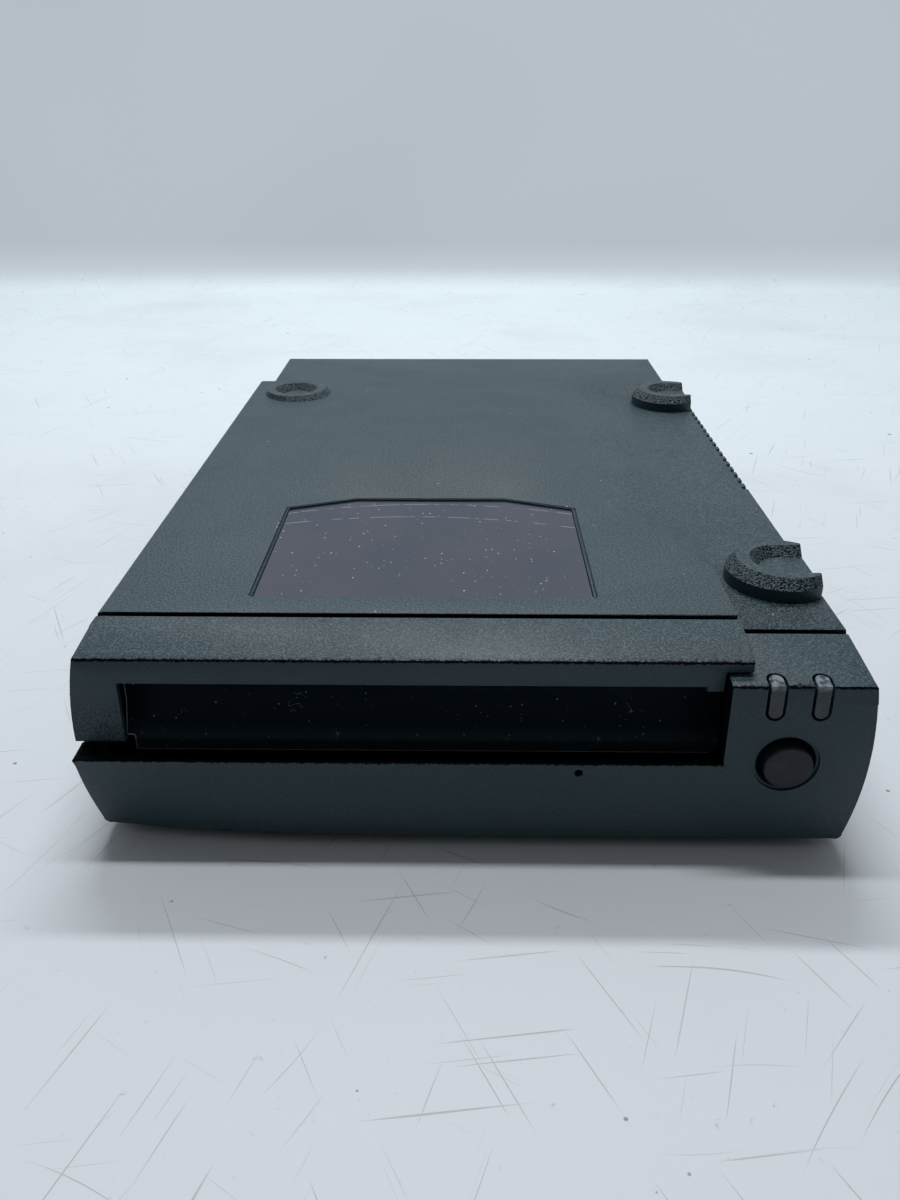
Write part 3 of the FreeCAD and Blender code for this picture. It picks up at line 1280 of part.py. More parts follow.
# Rails, shield and their screws
shield_in = size.rail_thick + 3.0
rail_low = floor_z + size.shield_thick
rail_top = deck_bottom + 8
shield_sides = (deck_left - shield_in, deck_right + shield_in)
shield_y = (deck_front + 1, deck_back - 1)
shield = size.shield_thick
node("emi_shield", fuse(
    "emi_shield",
    box("shield_floor", shield_sides, shield_y, (floor_z, rail_low)),
    box("shield_left", (shield_sides[0], shield_sides[0] + shield), shield_y, (floor_z, rail_top)),
    box("shield_right", (shield_sides[1] - shield, shield_sides[1]), shield_y,
        (floor_z, rail_top))))
screws = []
for side, wall_x, turn in (("left", deck_left, -1), ("right", deck_right, 1)):
    outer = wall_x + turn * (size.body_gap + size.rail_thick)
    inner = wall_x + turn * size.body_gap
    foot = wall_x - turn * 6.0
    plate_x = (outer, inner) if turn < 0 else (inner, outer)
    foot_x = (outer, foot) if turn < 0 else (foot, outer)
    node(f"mounting_rail_{side}", cut(
        f"mounting_rail_{side}",
        fuse(f"rail_{side}",
             box(f"rail_{side}_upright", plate_x, (shield_y[0] + 6, shield_y[1] - 6),
                 (rail_low, rail_top)),
             box(f"rail_{side}_foot", foot_x, (shield_y[0] + 6, shield_y[1] - 6),
                 (rail_low, rail_low + size.rail_thick))),
        *[rod(f"rail_{side}_hole_{n}", "X", (y, fixing_z), (wall_x - 5, wall_x + 5),
              size.screw_radius + size.screw_gap) for n, y in enumerate(FIXINGS)]))
    for n, y in enumerate(FIXINGS):
        shank = (outer, wall_x + 3.2) if turn < 0 else (wall_x - 3.2, outer)
        head = (outer - size.screw_head_thick, outer) if turn < 0 \
            else (outer, outer + size.screw_head_thick)
        screws.append(fuse(f"fixing_{side}_{n}",
                           rod(f"fixing_{side}_{n}_shank", "X", (y, fixing_z), shank,
                               size.screw_radius),
                           rod(f"fixing_{side}_{n}_head", "X", (y, fixing_z), head,
                               size.screw_head)))
node("mechanism_screws", fuse("mechanism_screws", *screws))
case_screws = [fuse(f"case_screw_{n}",
                    rod(f"case_screw_{n}_head", "Z", spot,
                        (bottom_z, bottom_z + size.screw_head_thick), size.screw_head),
                    rod(f"case_screw_{n}_shank", "Z", spot,
                        (bottom_z + 1, bottom_z + size.screw_head_thick + size.screw_length),
                        size.screw_radius))
               for n, spot in enumerate(POSTS)]
node("case_screws", fuse("case_screws", *case_screws))

# Rear panel and what it carries
panel_out = rear_y - size.rear_recess
panel_in = panel_out - size.rear_thick
io_back = panel_in - size.io_board_gap
io_front = io_back - size.board_thick
socket_x = size.socket_place
SOCKETS = {"lower": size.socket_low, "upper": size.socket_low + size.socket_pitch}
fan_x = -size.fan_place
fan_z = (floor_z + ceiling_z) / 2
flange_y = (panel_in - size.body_gap - 1.2, panel_in - size.body_gap)
half_socket = (size.socket_width / 2, size.socket_height / 2)
rear_inset = hood_wall + size.rear_gap
rear = Piece("rear_panel")
rear.pad("XZ", panel_in, panel_out,
         band(floor_z + size.rear_gap, ceiling_z - size.rear_gap, rear_inset))
for z in SOCKETS.values():
    rear.pocket("XZ", panel_in, panel_out, rectangle(
        (socket_x - half_socket[0] - 0.3, socket_x + half_socket[0] + 0.3),
        (z - half_socket[1] - 0.3, z + half_socket[1] + 0.3)))
rear.pocket("XZ", panel_in, panel_out, [(size.jack_place, size.jack_height, size.jack_radius + 0.9)])
rear.pocket("XZ", panel_in, panel_out, rectangle(
    (size.jack_place - size.rocker_width / 2 - 1.5, size.jack_place + size.rocker_width / 2 + 1.5),
    (size.rocker_height - size.rocker_tall / 2 - 1.5,
     size.rocker_height + size.rocker_tall / 2 + 1.5)))
dial_slot = size.dial_radius - 0.6
rear.pocket("XZ", panel_in, panel_out, rectangle(
    (size.dial_place - size.dial_width / 2 - 0.4, size.dial_place + size.dial_width / 2 + 0.4),
    (size.dial_height - dial_slot, size.dial_height + dial_slot)))
slide_half = size.slider_travel / 2 + 1.2 + 0.3
rear.pocket("XZ", panel_in, panel_out, rectangle(
    (size.dial_place - slide_half, size.dial_place + slide_half),
    (size.slider_height - 1.5, size.slider_height + 1.5)))
grille = rear.pocket("XZ", panel_in, panel_out, rectangle(
    (fan_x - 12, fan_x + 12), (fan_z - 11.8, fan_z - 9.8)))
rear.repeat(grille, "Z", 3.6, 7)
rear.keep()
node("interface_board", box("interface_board", (fan_x + size.fan_size / 2 + 3, size.jack_place + 6),
                            (io_front, io_back), (floor_z + 2, ceiling_z - 2)))
for name, z in SOCKETS.items():
    half_x, half_z = half_socket
    sides = (socket_x - half_x, socket_x + half_x)
    solid = fuse(
        f"socket_{name}_solid",
        box(f"socket_{name}_body", (sides[0] - 3, sides[1] + 3), (io_back, flange_y[0]),
            (z - half_z - 0.8, z + half_z + 0.8)),
        box(f"socket_{name}_flange", (socket_x - size.socket_flange / 2,
                                      socket_x + size.socket_flange / 2), flange_y,
            (z - half_z - 1.5, z + half_z + 1.5)),
        box(f"socket_{name}_shell", sides, (flange_y[0], panel_out + size.socket_proud),
            (z - half_z, z + half_z)))
    hollow = cut(f"socket_{name}_hollowed", solid,
                 box(f"socket_{name}_hollow", (sides[0] + 0.8, sides[1] - 0.8),
                     (io_back + 3, panel_out + size.socket_proud + 1),
                     (z - half_z + 0.8, z + half_z - 0.8)))
    node(f"data_socket_{name}", fuse(
        f"data_socket_{name}", hollow,
        box(f"socket_{name}_tongue", (sides[0] + 3, sides[1] - 3),
            (io_back + 2, panel_out + 0.4), (z - 0.9, z + 0.9))))
jack_spot = (size.jack_place, size.jack_height)
jack_body = fuse(
    "jack_solid",
    box("jack_case", (size.jack_place - 4.5, size.jack_place + 4.5),
        (io_back, panel_in - size.body_gap),
        (size.jack_height - 4.8, size.jack_height + 4.8)),
    rod("jack_barrel", "Y", jack_spot, (panel_in - size.body_gap - 0.1, panel_out),
        size.jack_radius + 0.7))
node("power_jack", fuse(
    "power_jack",
    cut("jack_hollowed", jack_body,
        rod("jack_hole", "Y", jack_spot, (io_back + 2, panel_out + 1), size.jack_radius - 0.8)),
    rod("jack_pin", "Y", jack_spot, (io_back + 1, panel_out - 0.8), 1.0)))
half_rocker = (size.rocker_width / 2, size.rocker_tall / 2)
pivot_y = panel_out - 1.4
tilt_cos, tilt_sin = cosine(size.rocker_tilt), sine(size.rocker_tilt)
housing = cut(
    "rocker_hollowed",
    fuse("rocker_case_solid",
         box("rocker_case", (size.jack_place - half_rocker[0] - 1.2,
                             size.jack_place + half_rocker[0] + 1.2),
             (io_back + 1.5, panel_out + 0.2),
             (size.rocker_height - half_rocker[1] - 1.2, size.rocker_height + half_rocker[1] + 1.2)),
         box("rocker_bezel", (size.jack_place - half_rocker[0] - 2.2,
                              size.jack_place + half_rocker[0] + 2.2),
             (panel_out, panel_out + 0.8),
             (size.rocker_height - half_rocker[1] - 1.9, size.rocker_height + half_rocker[1] + 1.9))),
    box("rocker_room", (size.jack_place - half_rocker[0] - 0.3,
                        size.jack_place + half_rocker[0] + 0.3),
        (io_back + 4, panel_out + 1), (size.rocker_height - half_rocker[1] - 0.5,
                                       size.rocker_height + half_rocker[1] + 0.5)),
    rod("rocker_bearing", "X", (pivot_y, size.rocker_height),
        (size.jack_place - half_rocker[0] - 0.9, size.jack_place + half_rocker[0] + 0.9),
        0.8 + size.shaft_gap))
node("power_switch_body", housing)


def on_rocker(back, up):
    """A corner of the rocker, tilted to its off position."""
    return (pivot_y + back * tilt_cos - up * tilt_sin,
            size.rocker_height + back * tilt_sin + up * tilt_cos)


rocker = Piece("power_rocker")
rocker_sides = (size.jack_place - half_rocker[0], size.jack_place + half_rocker[0])
rocker.pad("YZ", rocker_sides[0], rocker_sides[1], [
    on_rocker(-1.6, 2 - half_rocker[1]), on_rocker(2.3, 0.3 - half_rocker[1]), on_rocker(1.5, 0),
    on_rocker(2.3, half_rocker[1] - 0.3), on_rocker(-1.6, half_rocker[1] - 2),
])
rocker.pad("YZ", rocker_sides[0] - 0.8, rocker_sides[1] + 0.8,
           [(pivot_y, size.rocker_height, 0.8)])
rocker.keep()
dial_y = panel_out + 0.7 - size.dial_radius
dial_half = size.dial_width / 2
dial_wall = dial_half + 0.3
dial_spot = (dial_y, size.dial_height)
node("number_wheel", fuse(
    "number_wheel",
    rod("wheel_rim", "X", dial_spot, (size.dial_place - dial_half, size.dial_place + dial_half),
        size.dial_radius),
    rod("wheel_axle", "X", dial_spot, (size.dial_place - dial_wall - 0.8,
                                       size.dial_place + dial_wall + 0.8), 0.8)))
node("number_wheel_case", cut(
    "number_wheel_case",
    box("wheel_case", (size.dial_place - dial_wall - 1.0, size.dial_place + dial_wall + 1.0),
        (io_back, panel_in - size.body_gap),
        (size.dial_height - size.dial_radius - 1.2, size.dial_height + size.dial_radius + 1.2)),
    rod("wheel_room", "X", dial_spot, (size.dial_place - dial_wall, size.dial_place + dial_wall),
        size.dial_radius + 0.4),
    box("wheel_mouth", (size.dial_place - dial_wall, size.dial_place + dial_wall),
        (dial_y, panel_in + 1), (size.dial_height - size.dial_radius + 0.6,
                                 size.dial_height + size.dial_radius - 0.6)),
    rod("wheel_bearing", "X", dial_spot, (size.dial_place - dial_wall - 1.5,
                                          size.dial_place + dial_wall + 1.5),
        0.8 + size.shaft_gap)))
knob_x = size.dial_place + size.slider_travel / 2
knob_y = (io_back + 4.5, panel_out + 0.9)
node("termination_slider", box("termination_slider", (knob_x - 1.2, knob_x + 1.2), knob_y,
                               (size.slider_height - 1.2, size.slider_height + 1.2)))
node("slide_switch_body", cut(
    "slide_switch_body",
    box("slide_case", (size.dial_place - 5, size.dial_place + 5),
        (io_back, panel_in - size.body_gap), (size.slider_height - 3, size.slider_height + 3)),
    box("slide_room", (size.dial_place - slide_half, size.dial_place + slide_half),
        (knob_y[0] - 0.3, panel_in + 1), (size.slider_height - 1.5, size.slider_height + 1.5))))

# Fan
fan_half = size.fan_size / 2
fan_y = (panel_in - size.fan_depth, panel_in)
fan_spot = (fan_x, fan_z)
bore = size.fan_blade_radius + 0.6
node("fan_frame", fuse(
    "fan_frame",
    cut("fan_ring", box("fan_block", (fan_x - fan_half, fan_x + fan_half), fan_y,
                        (fan_z - fan_half, fan_z + fan_half)),
        rod("fan_bore", "Y", fan_spot, (fan_y[0] - 1, fan_y[1] + 1), bore)),
    box("fan_strut_flat", (fan_x - bore - 0.5, fan_x + bore + 0.5), (fan_y[1] - 1.4, fan_y[1]),
        (fan_z - 0.9, fan_z + 0.9)),
    box("fan_strut_upright", (fan_x - 0.9, fan_x + 0.9), (fan_y[1] - 1.4, fan_y[1]),
        (fan_z - bore - 0.5, fan_z + bore + 0.5)),
    rod("fan_base", "Y", fan_spot, (fan_y[1] - 1.6, fan_y[1]), size.fan_hub_radius),
    rod("fan_shaft", "Y", fan_spot, (fan_y[0] + 1.5, fan_y[1] - 1), 1.0)))
rotor = Piece("fan_rotor")
rotor_low, rotor_high = 0.6, size.fan_depth - 1.9
rotor.pad("XZ", rotor_low, rotor_high, [(0, 0, size.fan_hub_radius)])
blade_middle = (rotor_low + rotor_high) / 2
blade = rotor.pad("XY", size.fan_hub_radius - 0.8, size.fan_blade_radius, [
    (-2.0, blade_middle - 1.9), (-1.2, blade_middle - 2.2),
    (2.0, blade_middle + 1.9), (1.2, blade_middle + 2.2),
])
ring_of_blades = rotor.body.newObject("PartDesign::PolarPattern", "fan_blades")
ring_of_blades.Originals = [blade]
ring_of_blades.Axis = (rotor.axes["Y"], [""])
ring_of_blades.Angle = 360
bind(ring_of_blades, "Occurrences", size.fan_blades)
rotor.body.Tip = ring_of_blades
rotor.pocket("XZ", 1.2, rotor_high + 1, [(0, 0, 1.0 + size.shaft_gap)])
place(rotor.body, fan_x, fan_y[0], fan_z)
rotor.keep()

# Ribbon cable from the mechanism to the interface board
header_y = (io_front - 5, io_front)
header_z = fan_z - 3
ribbon_x = (socket_x - 24, socket_x + 8)
node("board_header", box("board_header", (ribbon_x[0] - 1, ribbon_x[1] + 1), header_y,
                         (header_z - 2.5, header_z + 2.5)))
ribbon_low = (board_low + plate_low - 0.9) / 2
ribbon_y0, ribbon_y1 = deck_back + 3, header_y[0]
rise_y = (ribbon_y0 + ribbon_y1) / 2
thin = 0.9
ribbon = Piece("ribbon_cable")
z0, z1 = ribbon_low - thin / 2, header_z - thin / 2
ribbon.pad("YZ", ribbon_x[0], ribbon_x[1], [
    (ribbon_y0, z0), (rise_y - thin / 2, z0), (rise_y + thin / 2, z0 + thin),
    (rise_y + thin / 2, z1), (ribbon_y1, z1), (ribbon_y1, z1 + thin),
    (rise_y + thin / 2, z1 + thin), (rise_y - thin / 2, z1), (rise_y - thin / 2, z0 + thin),
    (ribbon_y0, z0 + thin),
])
ribbon.keep()

# Check every object, then write every piece
doc.recompute()
for item in doc.Objects:
    if "Invalid" in item.State or "Error" in item.State:
        raise RuntimeError(f"{item.Name} failed: {item.State}")
for item, base in CUTS:
    if item.Shape.Volume >= base.Shape.Volume - 1e-6:
        print(f"{item.Name} cuts nothing")
for label, item in NODES.items():
    if item.Shape.isNull() or not item.Shape.isValid():
        raise RuntimeError(f"{label} has no valid shape")
for label, item in NODES.items():
    item.Shape.exportStep(f"parts/{label}.step")
print(f"{len(NODES)} pieces")
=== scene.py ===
import math
import bmesh
import bpy
from mathutils import Matrix, Vector


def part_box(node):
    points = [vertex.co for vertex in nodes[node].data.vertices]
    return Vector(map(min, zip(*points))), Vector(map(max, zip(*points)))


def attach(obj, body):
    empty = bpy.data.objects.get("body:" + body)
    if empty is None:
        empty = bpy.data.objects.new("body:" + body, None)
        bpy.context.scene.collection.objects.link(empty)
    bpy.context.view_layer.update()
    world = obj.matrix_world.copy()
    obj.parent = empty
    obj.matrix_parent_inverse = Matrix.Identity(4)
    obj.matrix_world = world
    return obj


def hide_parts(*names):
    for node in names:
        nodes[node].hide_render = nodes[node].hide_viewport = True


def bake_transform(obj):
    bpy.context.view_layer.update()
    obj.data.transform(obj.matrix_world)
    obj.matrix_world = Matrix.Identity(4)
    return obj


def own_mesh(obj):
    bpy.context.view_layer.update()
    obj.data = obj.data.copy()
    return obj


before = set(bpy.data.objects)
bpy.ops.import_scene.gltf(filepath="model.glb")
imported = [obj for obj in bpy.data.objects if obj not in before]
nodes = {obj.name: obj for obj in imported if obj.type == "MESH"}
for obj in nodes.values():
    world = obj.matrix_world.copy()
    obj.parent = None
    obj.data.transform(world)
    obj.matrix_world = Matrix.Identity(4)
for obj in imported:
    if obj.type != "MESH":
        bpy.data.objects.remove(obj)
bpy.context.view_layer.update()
scene = bpy.context.scene
bpy.ops.object.select_all(action="DESELECT")


# Table and backdrop: one pale painted board that lies flat under the drive and turns up
# behind it in a short bend. It is matt, with the smudges, fine dark scratches and dirt
# specks of a work table. Where it turns up, it glows for the camera and in reflections
# with painted light.
table_half, table_front = 1.3, -1.1
bend_start, bend_radius, wall_top = 0.455, 0.03, 0.42
bpy.ops.mesh.primitive_plane_add(size=1, location=(0, 0, 0))
table = bpy.context.object
table.name = "table_and_backdrop"
bpy.ops.object.mode_set(mode="EDIT")
bpy.ops.transform.resize(value=(2 * table_half, bend_start - table_front, 1))
bpy.ops.transform.translate(value=(0, (bend_start + table_front) / 2, 0))
board = bmesh.from_edit_mesh(table.data)
for part in (board.verts, board.edges, board.faces):
    for item in part:
        item.select = False
for edge in board.edges:
    if all(abs(corner.co.y - bend_start) < 1e-5 for corner in edge.verts):
        edge.select = True
board.select_flush(True)
bmesh.update_edit_mesh(table.data)
bpy.ops.mesh.spin(steps=12, angle=-math.pi / 2, center=(0, bend_start, bend_radius),
                  axis=(1, 0, 0))
bpy.ops.mesh.extrude_edges_move(TRANSFORM_OT_translate={"value": (0, 0, wall_top)})
bpy.ops.object.mode_set(mode="OBJECT")
bpy.ops.object.shade_smooth()


def add_node(tree, kind, inputs=None, **settings):
    """One shader node; inputs are numbers or the outputs of other nodes."""
    node = tree.nodes.new(kind)
    for key, value in settings.items():
        setattr(node, key, value)
    for key, value in (inputs or {}).items():
        if isinstance(value, bpy.types.NodeSocket):
            tree.links.new(value, node.inputs[key])
        else:
            node.inputs[key].default_value = value
    return node


def new_finish(name, colour, roughness, metallic=0.0):
    """A material with its Principled shader set to one plain finish."""
    material = bpy.data.materials.new(name)
    material.use_nodes = True
    shader = material.node_tree.nodes["Principled BSDF"]
    shader.inputs["Base Color"].default_value = (*colour, 1)
    shader.inputs["Roughness"].default_value = roughness
    shader.inputs["Metallic"].default_value = metallic
    return material, material.node_tree, shader


def blend_colour(tree, share, first, second, how="MIX"):
    """The first colour turning into the second by the share."""
    mix = tree.nodes.new("ShaderNodeMix")
    mix.data_type = "RGBA"
    mix.blend_type = how
    for socket, value in ((mix.inputs[0], share), (mix.inputs[6], first), (mix.inputs[7], second)):
        if isinstance(value, bpy.types.NodeSocket):
            tree.links.new(value, socket)
        elif isinstance(value, (int, float)):
            socket.default_value = value
        else:
            socket.default_value = (*value, 1)
    return mix.outputs[2]


def spread(tree, value, low, high, to_low=0.0, to_high=1.0):
    """A value between low and high, stretched softly to a new range."""
    node = add_node(tree, "ShaderNodeMapRange", {"Value": value, "From Min": low, "From Max": high,
                                                 "To Min": to_low, "To Max": to_high},
                    interpolation_type="SMOOTHSTEP")
    return node.outputs["Result"]


def combine(tree, first, second, operation="MULTIPLY"):
    """Two values worked together, multiplied unless said otherwise."""
    return add_node(tree, "ShaderNodeMath", {0: first, 1: second},
                    operation=operation).outputs[0]


def object_place(tree):
    return add_node(tree, "ShaderNodeTexCoord").outputs["Object"]


def split(tree, vector):
    """The X, Y and Z of a vector."""
    return add_node(tree, "ShaderNodeSeparateXYZ", {"Vector": vector}).outputs


def noise(tree, place, scale, detail=3.0, roughness=0.55):
    return add_node(tree, "ShaderNodeTexNoise", {"Vector": place, "Scale": scale, "Detail": detail,
                                                 "Roughness": roughness}).outputs["Fac"]


def paint(tree, shader, share, first, second):
    """The shader's colour, turning from the first to the second by the share."""
    tree.links.new(blend_colour(tree, share, first, second), shader.inputs["Base Color"])


white_board, tree, shader = new_finish("white_board", (0.64, 0.72, 0.78), 0.62)
place = object_place(tree)
away = split(tree, place)
# Painted light: the board's colour is lighter towards the back, where more light falls.
board_colour = blend_colour(tree, spread(tree, away["Y"], -0.2, 0.3),
                            (0.74, 0.765, 0.805), (0.80, 0.87, 0.905))
smudge = spread(tree, noise(tree, place, 9, 4), 0.45, 0.75, 0.0, 0.5)
board_colour = blend_colour(tree, smudge, board_colour, (0.68, 0.71, 0.74))
marks = spread(tree, noise(tree, place, 330, 6, 0.75), 0.63, 0.74, 0.0, 0.8)
scratch_pitch, scratch_turns = (24, 1700, 1), (0.4, 2.3, 1.1, 3.0, 1.9)
curl = add_node(tree, "ShaderNodeTexNoise", {"Vector": place, "Scale": 6.0}).outputs["Color"]
swept = add_node(tree, "ShaderNodeVectorMath", {0: curl, 1: (0.09, 0.09, 0.0), 2: place},
                 operation="MULTIPLY_ADD").outputs[0]
for start, turn in zip((swept, swept, place, place, place), scratch_turns):
    turned = add_node(tree, "ShaderNodeMapping", {"Vector": start, "Rotation": (0, 0, turn),
                                                  "Location": (turn, turn, 0)}).outputs[0]
    long_cells = add_node(tree, "ShaderNodeMapping", {"Vector": turned,
                                                      "Scale": scratch_pitch}).outputs[0]
    scratch = spread(tree, noise(tree, long_cells, 1.0, 1), 0.72, 0.78)
    marks = combine(tree, marks, combine(tree, scratch, 0.55), "MAXIMUM")
dots = add_node(tree, "ShaderNodeTexVoronoi", {"Vector": place, "Scale": 170.0}).outputs
rare = split(tree, dots["Color"])
size = combine(tree, rare["X"], combine(tree, rare["Y"], 0.16))
dots = combine(tree, spread(tree, combine(tree, size, dots["Distance"], "SUBTRACT"), 0.0, 0.03),
               spread(tree, rare["Z"], 0.62, 0.68))
marks = combine(tree, marks, dots, "MAXIMUM")
board_colour = blend_colour(tree, marks, board_colour, (0.30, 0.29, 0.28))
tree.links.new(board_colour, shader.inputs["Base Color"])
rays = add_node(tree, "ShaderNodeLightPath").outputs
seen = combine(tree, combine(tree, rays["Is Camera Ray"], rays["Is Glossy Ray"], "MAXIMUM"),
               rays["Is Transmission Ray"], "MAXIMUM")
on_wall = spread(tree, away["Z"], 0.0, 0.014)
wall_colour = blend_colour(tree, spread(tree, noise(tree, place, 2.5, 2), 0.3, 0.7),
                           (0.445, 0.492, 0.545), (0.475, 0.53, 0.575))
# Painted light: the wall is lighter just above the bend, and brighter towards the top, where the
# lid's reflections fall.
wall_colour = blend_colour(tree, spread(tree, away["Z"], 0.004, 0.03), (0.55, 0.61, 0.67),
                           wall_colour)
wall_colour = blend_colour(tree, spread(tree, away["Z"], 0.19, 0.42), wall_colour,
                           (0.78, 0.84, 0.90))
# Painted reflection: the wall's low part glows brighter still in reflections.
painted_reflection_glow = combine(tree, rays["Is Glossy Ray"], spread(tree, away["Z"], 0.03, 0.25, 0.22, 0.0))
glow = add_node(tree, "ShaderNodeEmission", {"Color": wall_colour,
                                             "Strength": combine(tree, painted_reflection_glow, 1.0, "ADD")})
surface = add_node(tree, "ShaderNodeMixShader", {0: combine(tree, seen, on_wall)})
tree.links.new(shader.outputs[0], surface.inputs[1])
tree.links.new(glow.outputs[0], surface.inputs[2])
tree.links.new(surface.outputs[0], tree.nodes["Material Output"].inputs["Surface"])
table.data.materials.append(white_board)

# Light and camera: two long tubes over and behind the drive, pale light from above and
# behind, little and warmer light from the room in front, and the view down over the front.
tubes = (("near_tube", 0.11, 1.0, 3.8), ("far_tube", 0.47, 0.865, 4.35))
tube_middle, tube_length, tube_width, tube_aim = -0.05, 0.6, 0.05, -0.05
for name, behind, height, watts in tubes:
    bpy.ops.object.light_add(type="AREA", location=(tube_middle, behind, height),
                             rotation=(-math.atan((behind - tube_aim) / height), 0, 0))
    lamp = bpy.context.object
    lamp.name = name
    lamp.data.shape = "RECTANGLE"
    lamp.data.size = tube_length
    lamp.data.size_y = tube_width
    lamp.data.energy = watts
    lamp.data.color = (0.95, 0.98, 1.0)
world = bpy.data.worlds.new("room")
scene.world = world
world.use_nodes = True
tree = world.node_tree
direction = split(tree, add_node(tree, "ShaderNodeTexCoord").outputs["Generated"])
room = blend_colour(tree, spread(tree, direction["Y"], -0.45, 0.5), (0.043, 0.040, 0.039),
                    (0.70, 0.76, 0.83))
room = blend_colour(tree, spread(tree, direction["Z"], 0.35, 0.9), room, (0.17, 0.18, 0.19))
ahead = add_node(tree, "ShaderNodeLightPath").outputs["Is Camera Ray"]
tree.links.new(blend_colour(tree, ahead, room, (0.47, 0.52, 0.57)),
               tree.nodes["Background"].inputs["Color"])
tree.nodes["Background"].inputs["Strength"].default_value = 1.0
camera_place, camera_turn = (-0.00073630, -0.23915506, 0.12011016), (62.99949, 0.15555, 0.89079)
bpy.ops.object.camera_add(location=camera_place,
                          rotation=[math.radians(angle) for angle in camera_turn])
camera = bpy.context.object
camera.name = "camera"
camera.data.sensor_width = 36
camera.data.lens = 30
camera.data.clip_start = 0.005
scene.camera = camera
scene.view_settings.view_transform = "Standard"


# Case: the lid and the bottom are two hard plastic mouldings with a fine spark-eroded
# grain, screwed together from below. Their long outer edges are softly rounded, and the
# lid carries three stacking rings with a coarser, leathery grain.
def moulding(node, name, round_over, shortest=0.002, sharp=30, keep=None):
    """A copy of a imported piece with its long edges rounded."""
    piece = nodes[node].copy()
    piece.data = nodes[node].data.copy()
    piece.name = name
    piece.data.name = name
    for key in list(piece.keys()):
        del piece[key]
    piece.parent = None
    piece.data.materials.clear()
    scene.collection.objects.link(piece)
    bpy.ops.object.select_all(action="DESELECT")
    piece.select_set(True)
    bpy.context.view_layer.objects.active = piece
    if piece.data.has_custom_normals:
        bpy.ops.mesh.customdata_custom_splitnormals_clear()
    bpy.ops.object.mode_set(mode="EDIT")
    bpy.ops.mesh.select_all(action="SELECT")
    bpy.ops.mesh.remove_doubles(threshold=2e-6)
    bpy.ops.mesh.select_all(action="DESELECT")
    if round_over:
        shape = bmesh.from_edit_mesh(piece.data)
        for edge in shape.edges:
            if (len(edge.link_faces) == 2 and edge.calc_length() > shortest
                    and edge.calc_face_angle() > math.radians(sharp)
                    and (keep is None or keep(edge))):
                edge.select = True
        bmesh.update_edit_mesh(piece.data)
        bpy.ops.mesh.bevel(offset=round_over, segments=2, clamp_overlap=False)
    bpy.ops.object.mode_set(mode="OBJECT")
    bpy.ops.object.shade_smooth_by_angle(angle=math.radians(sharp))
    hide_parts(node)
    return piece


def finish(piece, material, body):
    """The piece's material and body."""
    piece.data.materials.append(material)
    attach(piece, body)


def new_group(name, inputs, outputs):
    """An empty shader group with named inputs and outputs."""
    group = bpy.data.node_groups.new(name, "ShaderNodeTree")
    for label, start in inputs.items():
        group.interface.new_socket(label, in_out="INPUT",
                                   socket_type="NodeSocketFloat").default_value = start
    for label in outputs:
        kind = "NodeSocketVector" if label == "Normal" else "NodeSocketFloat"
        group.interface.new_socket(label, in_out="OUTPUT", socket_type=kind)
    return (group, group.nodes.new("NodeGroupInput").outputs,
            group.nodes.new("NodeGroupOutput").inputs)


def use_group(tree, group, **values):
    """The outputs of a group placed in a tree with its own values."""
    holder = tree.nodes.new("ShaderNodeGroup")
    holder.node_tree = group
    for label, value in values.items():
        socket = holder.inputs[label.replace("_", " ")]
        if isinstance(value, bpy.types.NodeSocket):
            tree.links.new(value, socket)
        else:
            socket.default_value = value
    return holder.outputs


grain, knobs, results = new_group(
    "moulded_grain", {"Pitch": 2700.0, "Depth": 0.3, "Leather": 0.0},
    ("Normal", "Tips", "Pits", "Wrinkle", "Fold", "Flat", "Mottle"))
place = object_place(grain)
pits = noise(grain, place, knobs["Pitch"], 1.0, 0.5)
wander = add_node(grain, "ShaderNodeTexNoise", {"Vector": place, "Scale": 1300.0}).outputs["Color"]
bent = add_node(grain, "ShaderNodeVectorMath", {0: wander, 1: (0.0006, 0.0006, 0.0006), 2: place},
                operation="MULTIPLY_ADD").outputs[0]
cells = add_node(grain, "ShaderNodeTexVoronoi", {"Vector": bent, "Scale": 2500.0},
                 feature="F1").outputs["Distance"]
hills = combine(grain, 1.0, cells, "SUBTRACT")
relief = combine(grain, combine(grain, pits, knobs["Depth"]),
                 combine(grain, hills, knobs["Leather"]), "ADD")
bump = add_node(grain, "ShaderNodeBump", {"Strength": 1.0, "Distance": 0.0002,
                                          "Height": relief})
facing = split(grain, add_node(grain, "ShaderNodeNewGeometry").outputs["Normal"])
grain.links.new(bump.outputs["Normal"], results["Normal"])
grain.links.new(spread(grain, pits, 0.50, 0.66), results["Tips"])
grain.links.new(spread(grain, pits, 0.50, 0.36), results["Pits"])
grain.links.new(spread(grain, cells, 0.45, 0.75), results["Wrinkle"])
grain.links.new(spread(grain, cells, 0.36, 0.14), results["Fold"])
grain.links.new(spread(grain, facing["Z"], 0.35, 0.9), results["Flat"])
grain.links.new(spread(grain, noise(grain, place, 45, 4, 0.6), 0.3, 0.7), results["Mottle"])

ridge, knobs, results = new_group("ragged_ridge", {"Height": 0.03, "Width": 0.0006}, ("Mask",))
place = object_place(ridge)
below = combine(ridge, knobs["Height"], split(ridge, place)["Z"], "SUBTRACT")
ragged = combine(ridge, combine(ridge, noise(ridge, place, 1900, 3, 0.7), 0.5, "SUBTRACT"), 0.0012)
below = combine(ridge, combine(ridge, below, ragged, "ADD"), knobs["Width"], "DIVIDE")
band = combine(ridge, spread(ridge, below, -0.3, 0.1), spread(ridge, below, 0.7, 1.1, 1.0, 0.0))
facing = split(ridge, add_node(ridge, "ShaderNodeNewGeometry").outputs["Normal"])
ridge.links.new(combine(ridge, band, spread(ridge, facing["Y"], -0.1, -0.35)), results["Mask"])

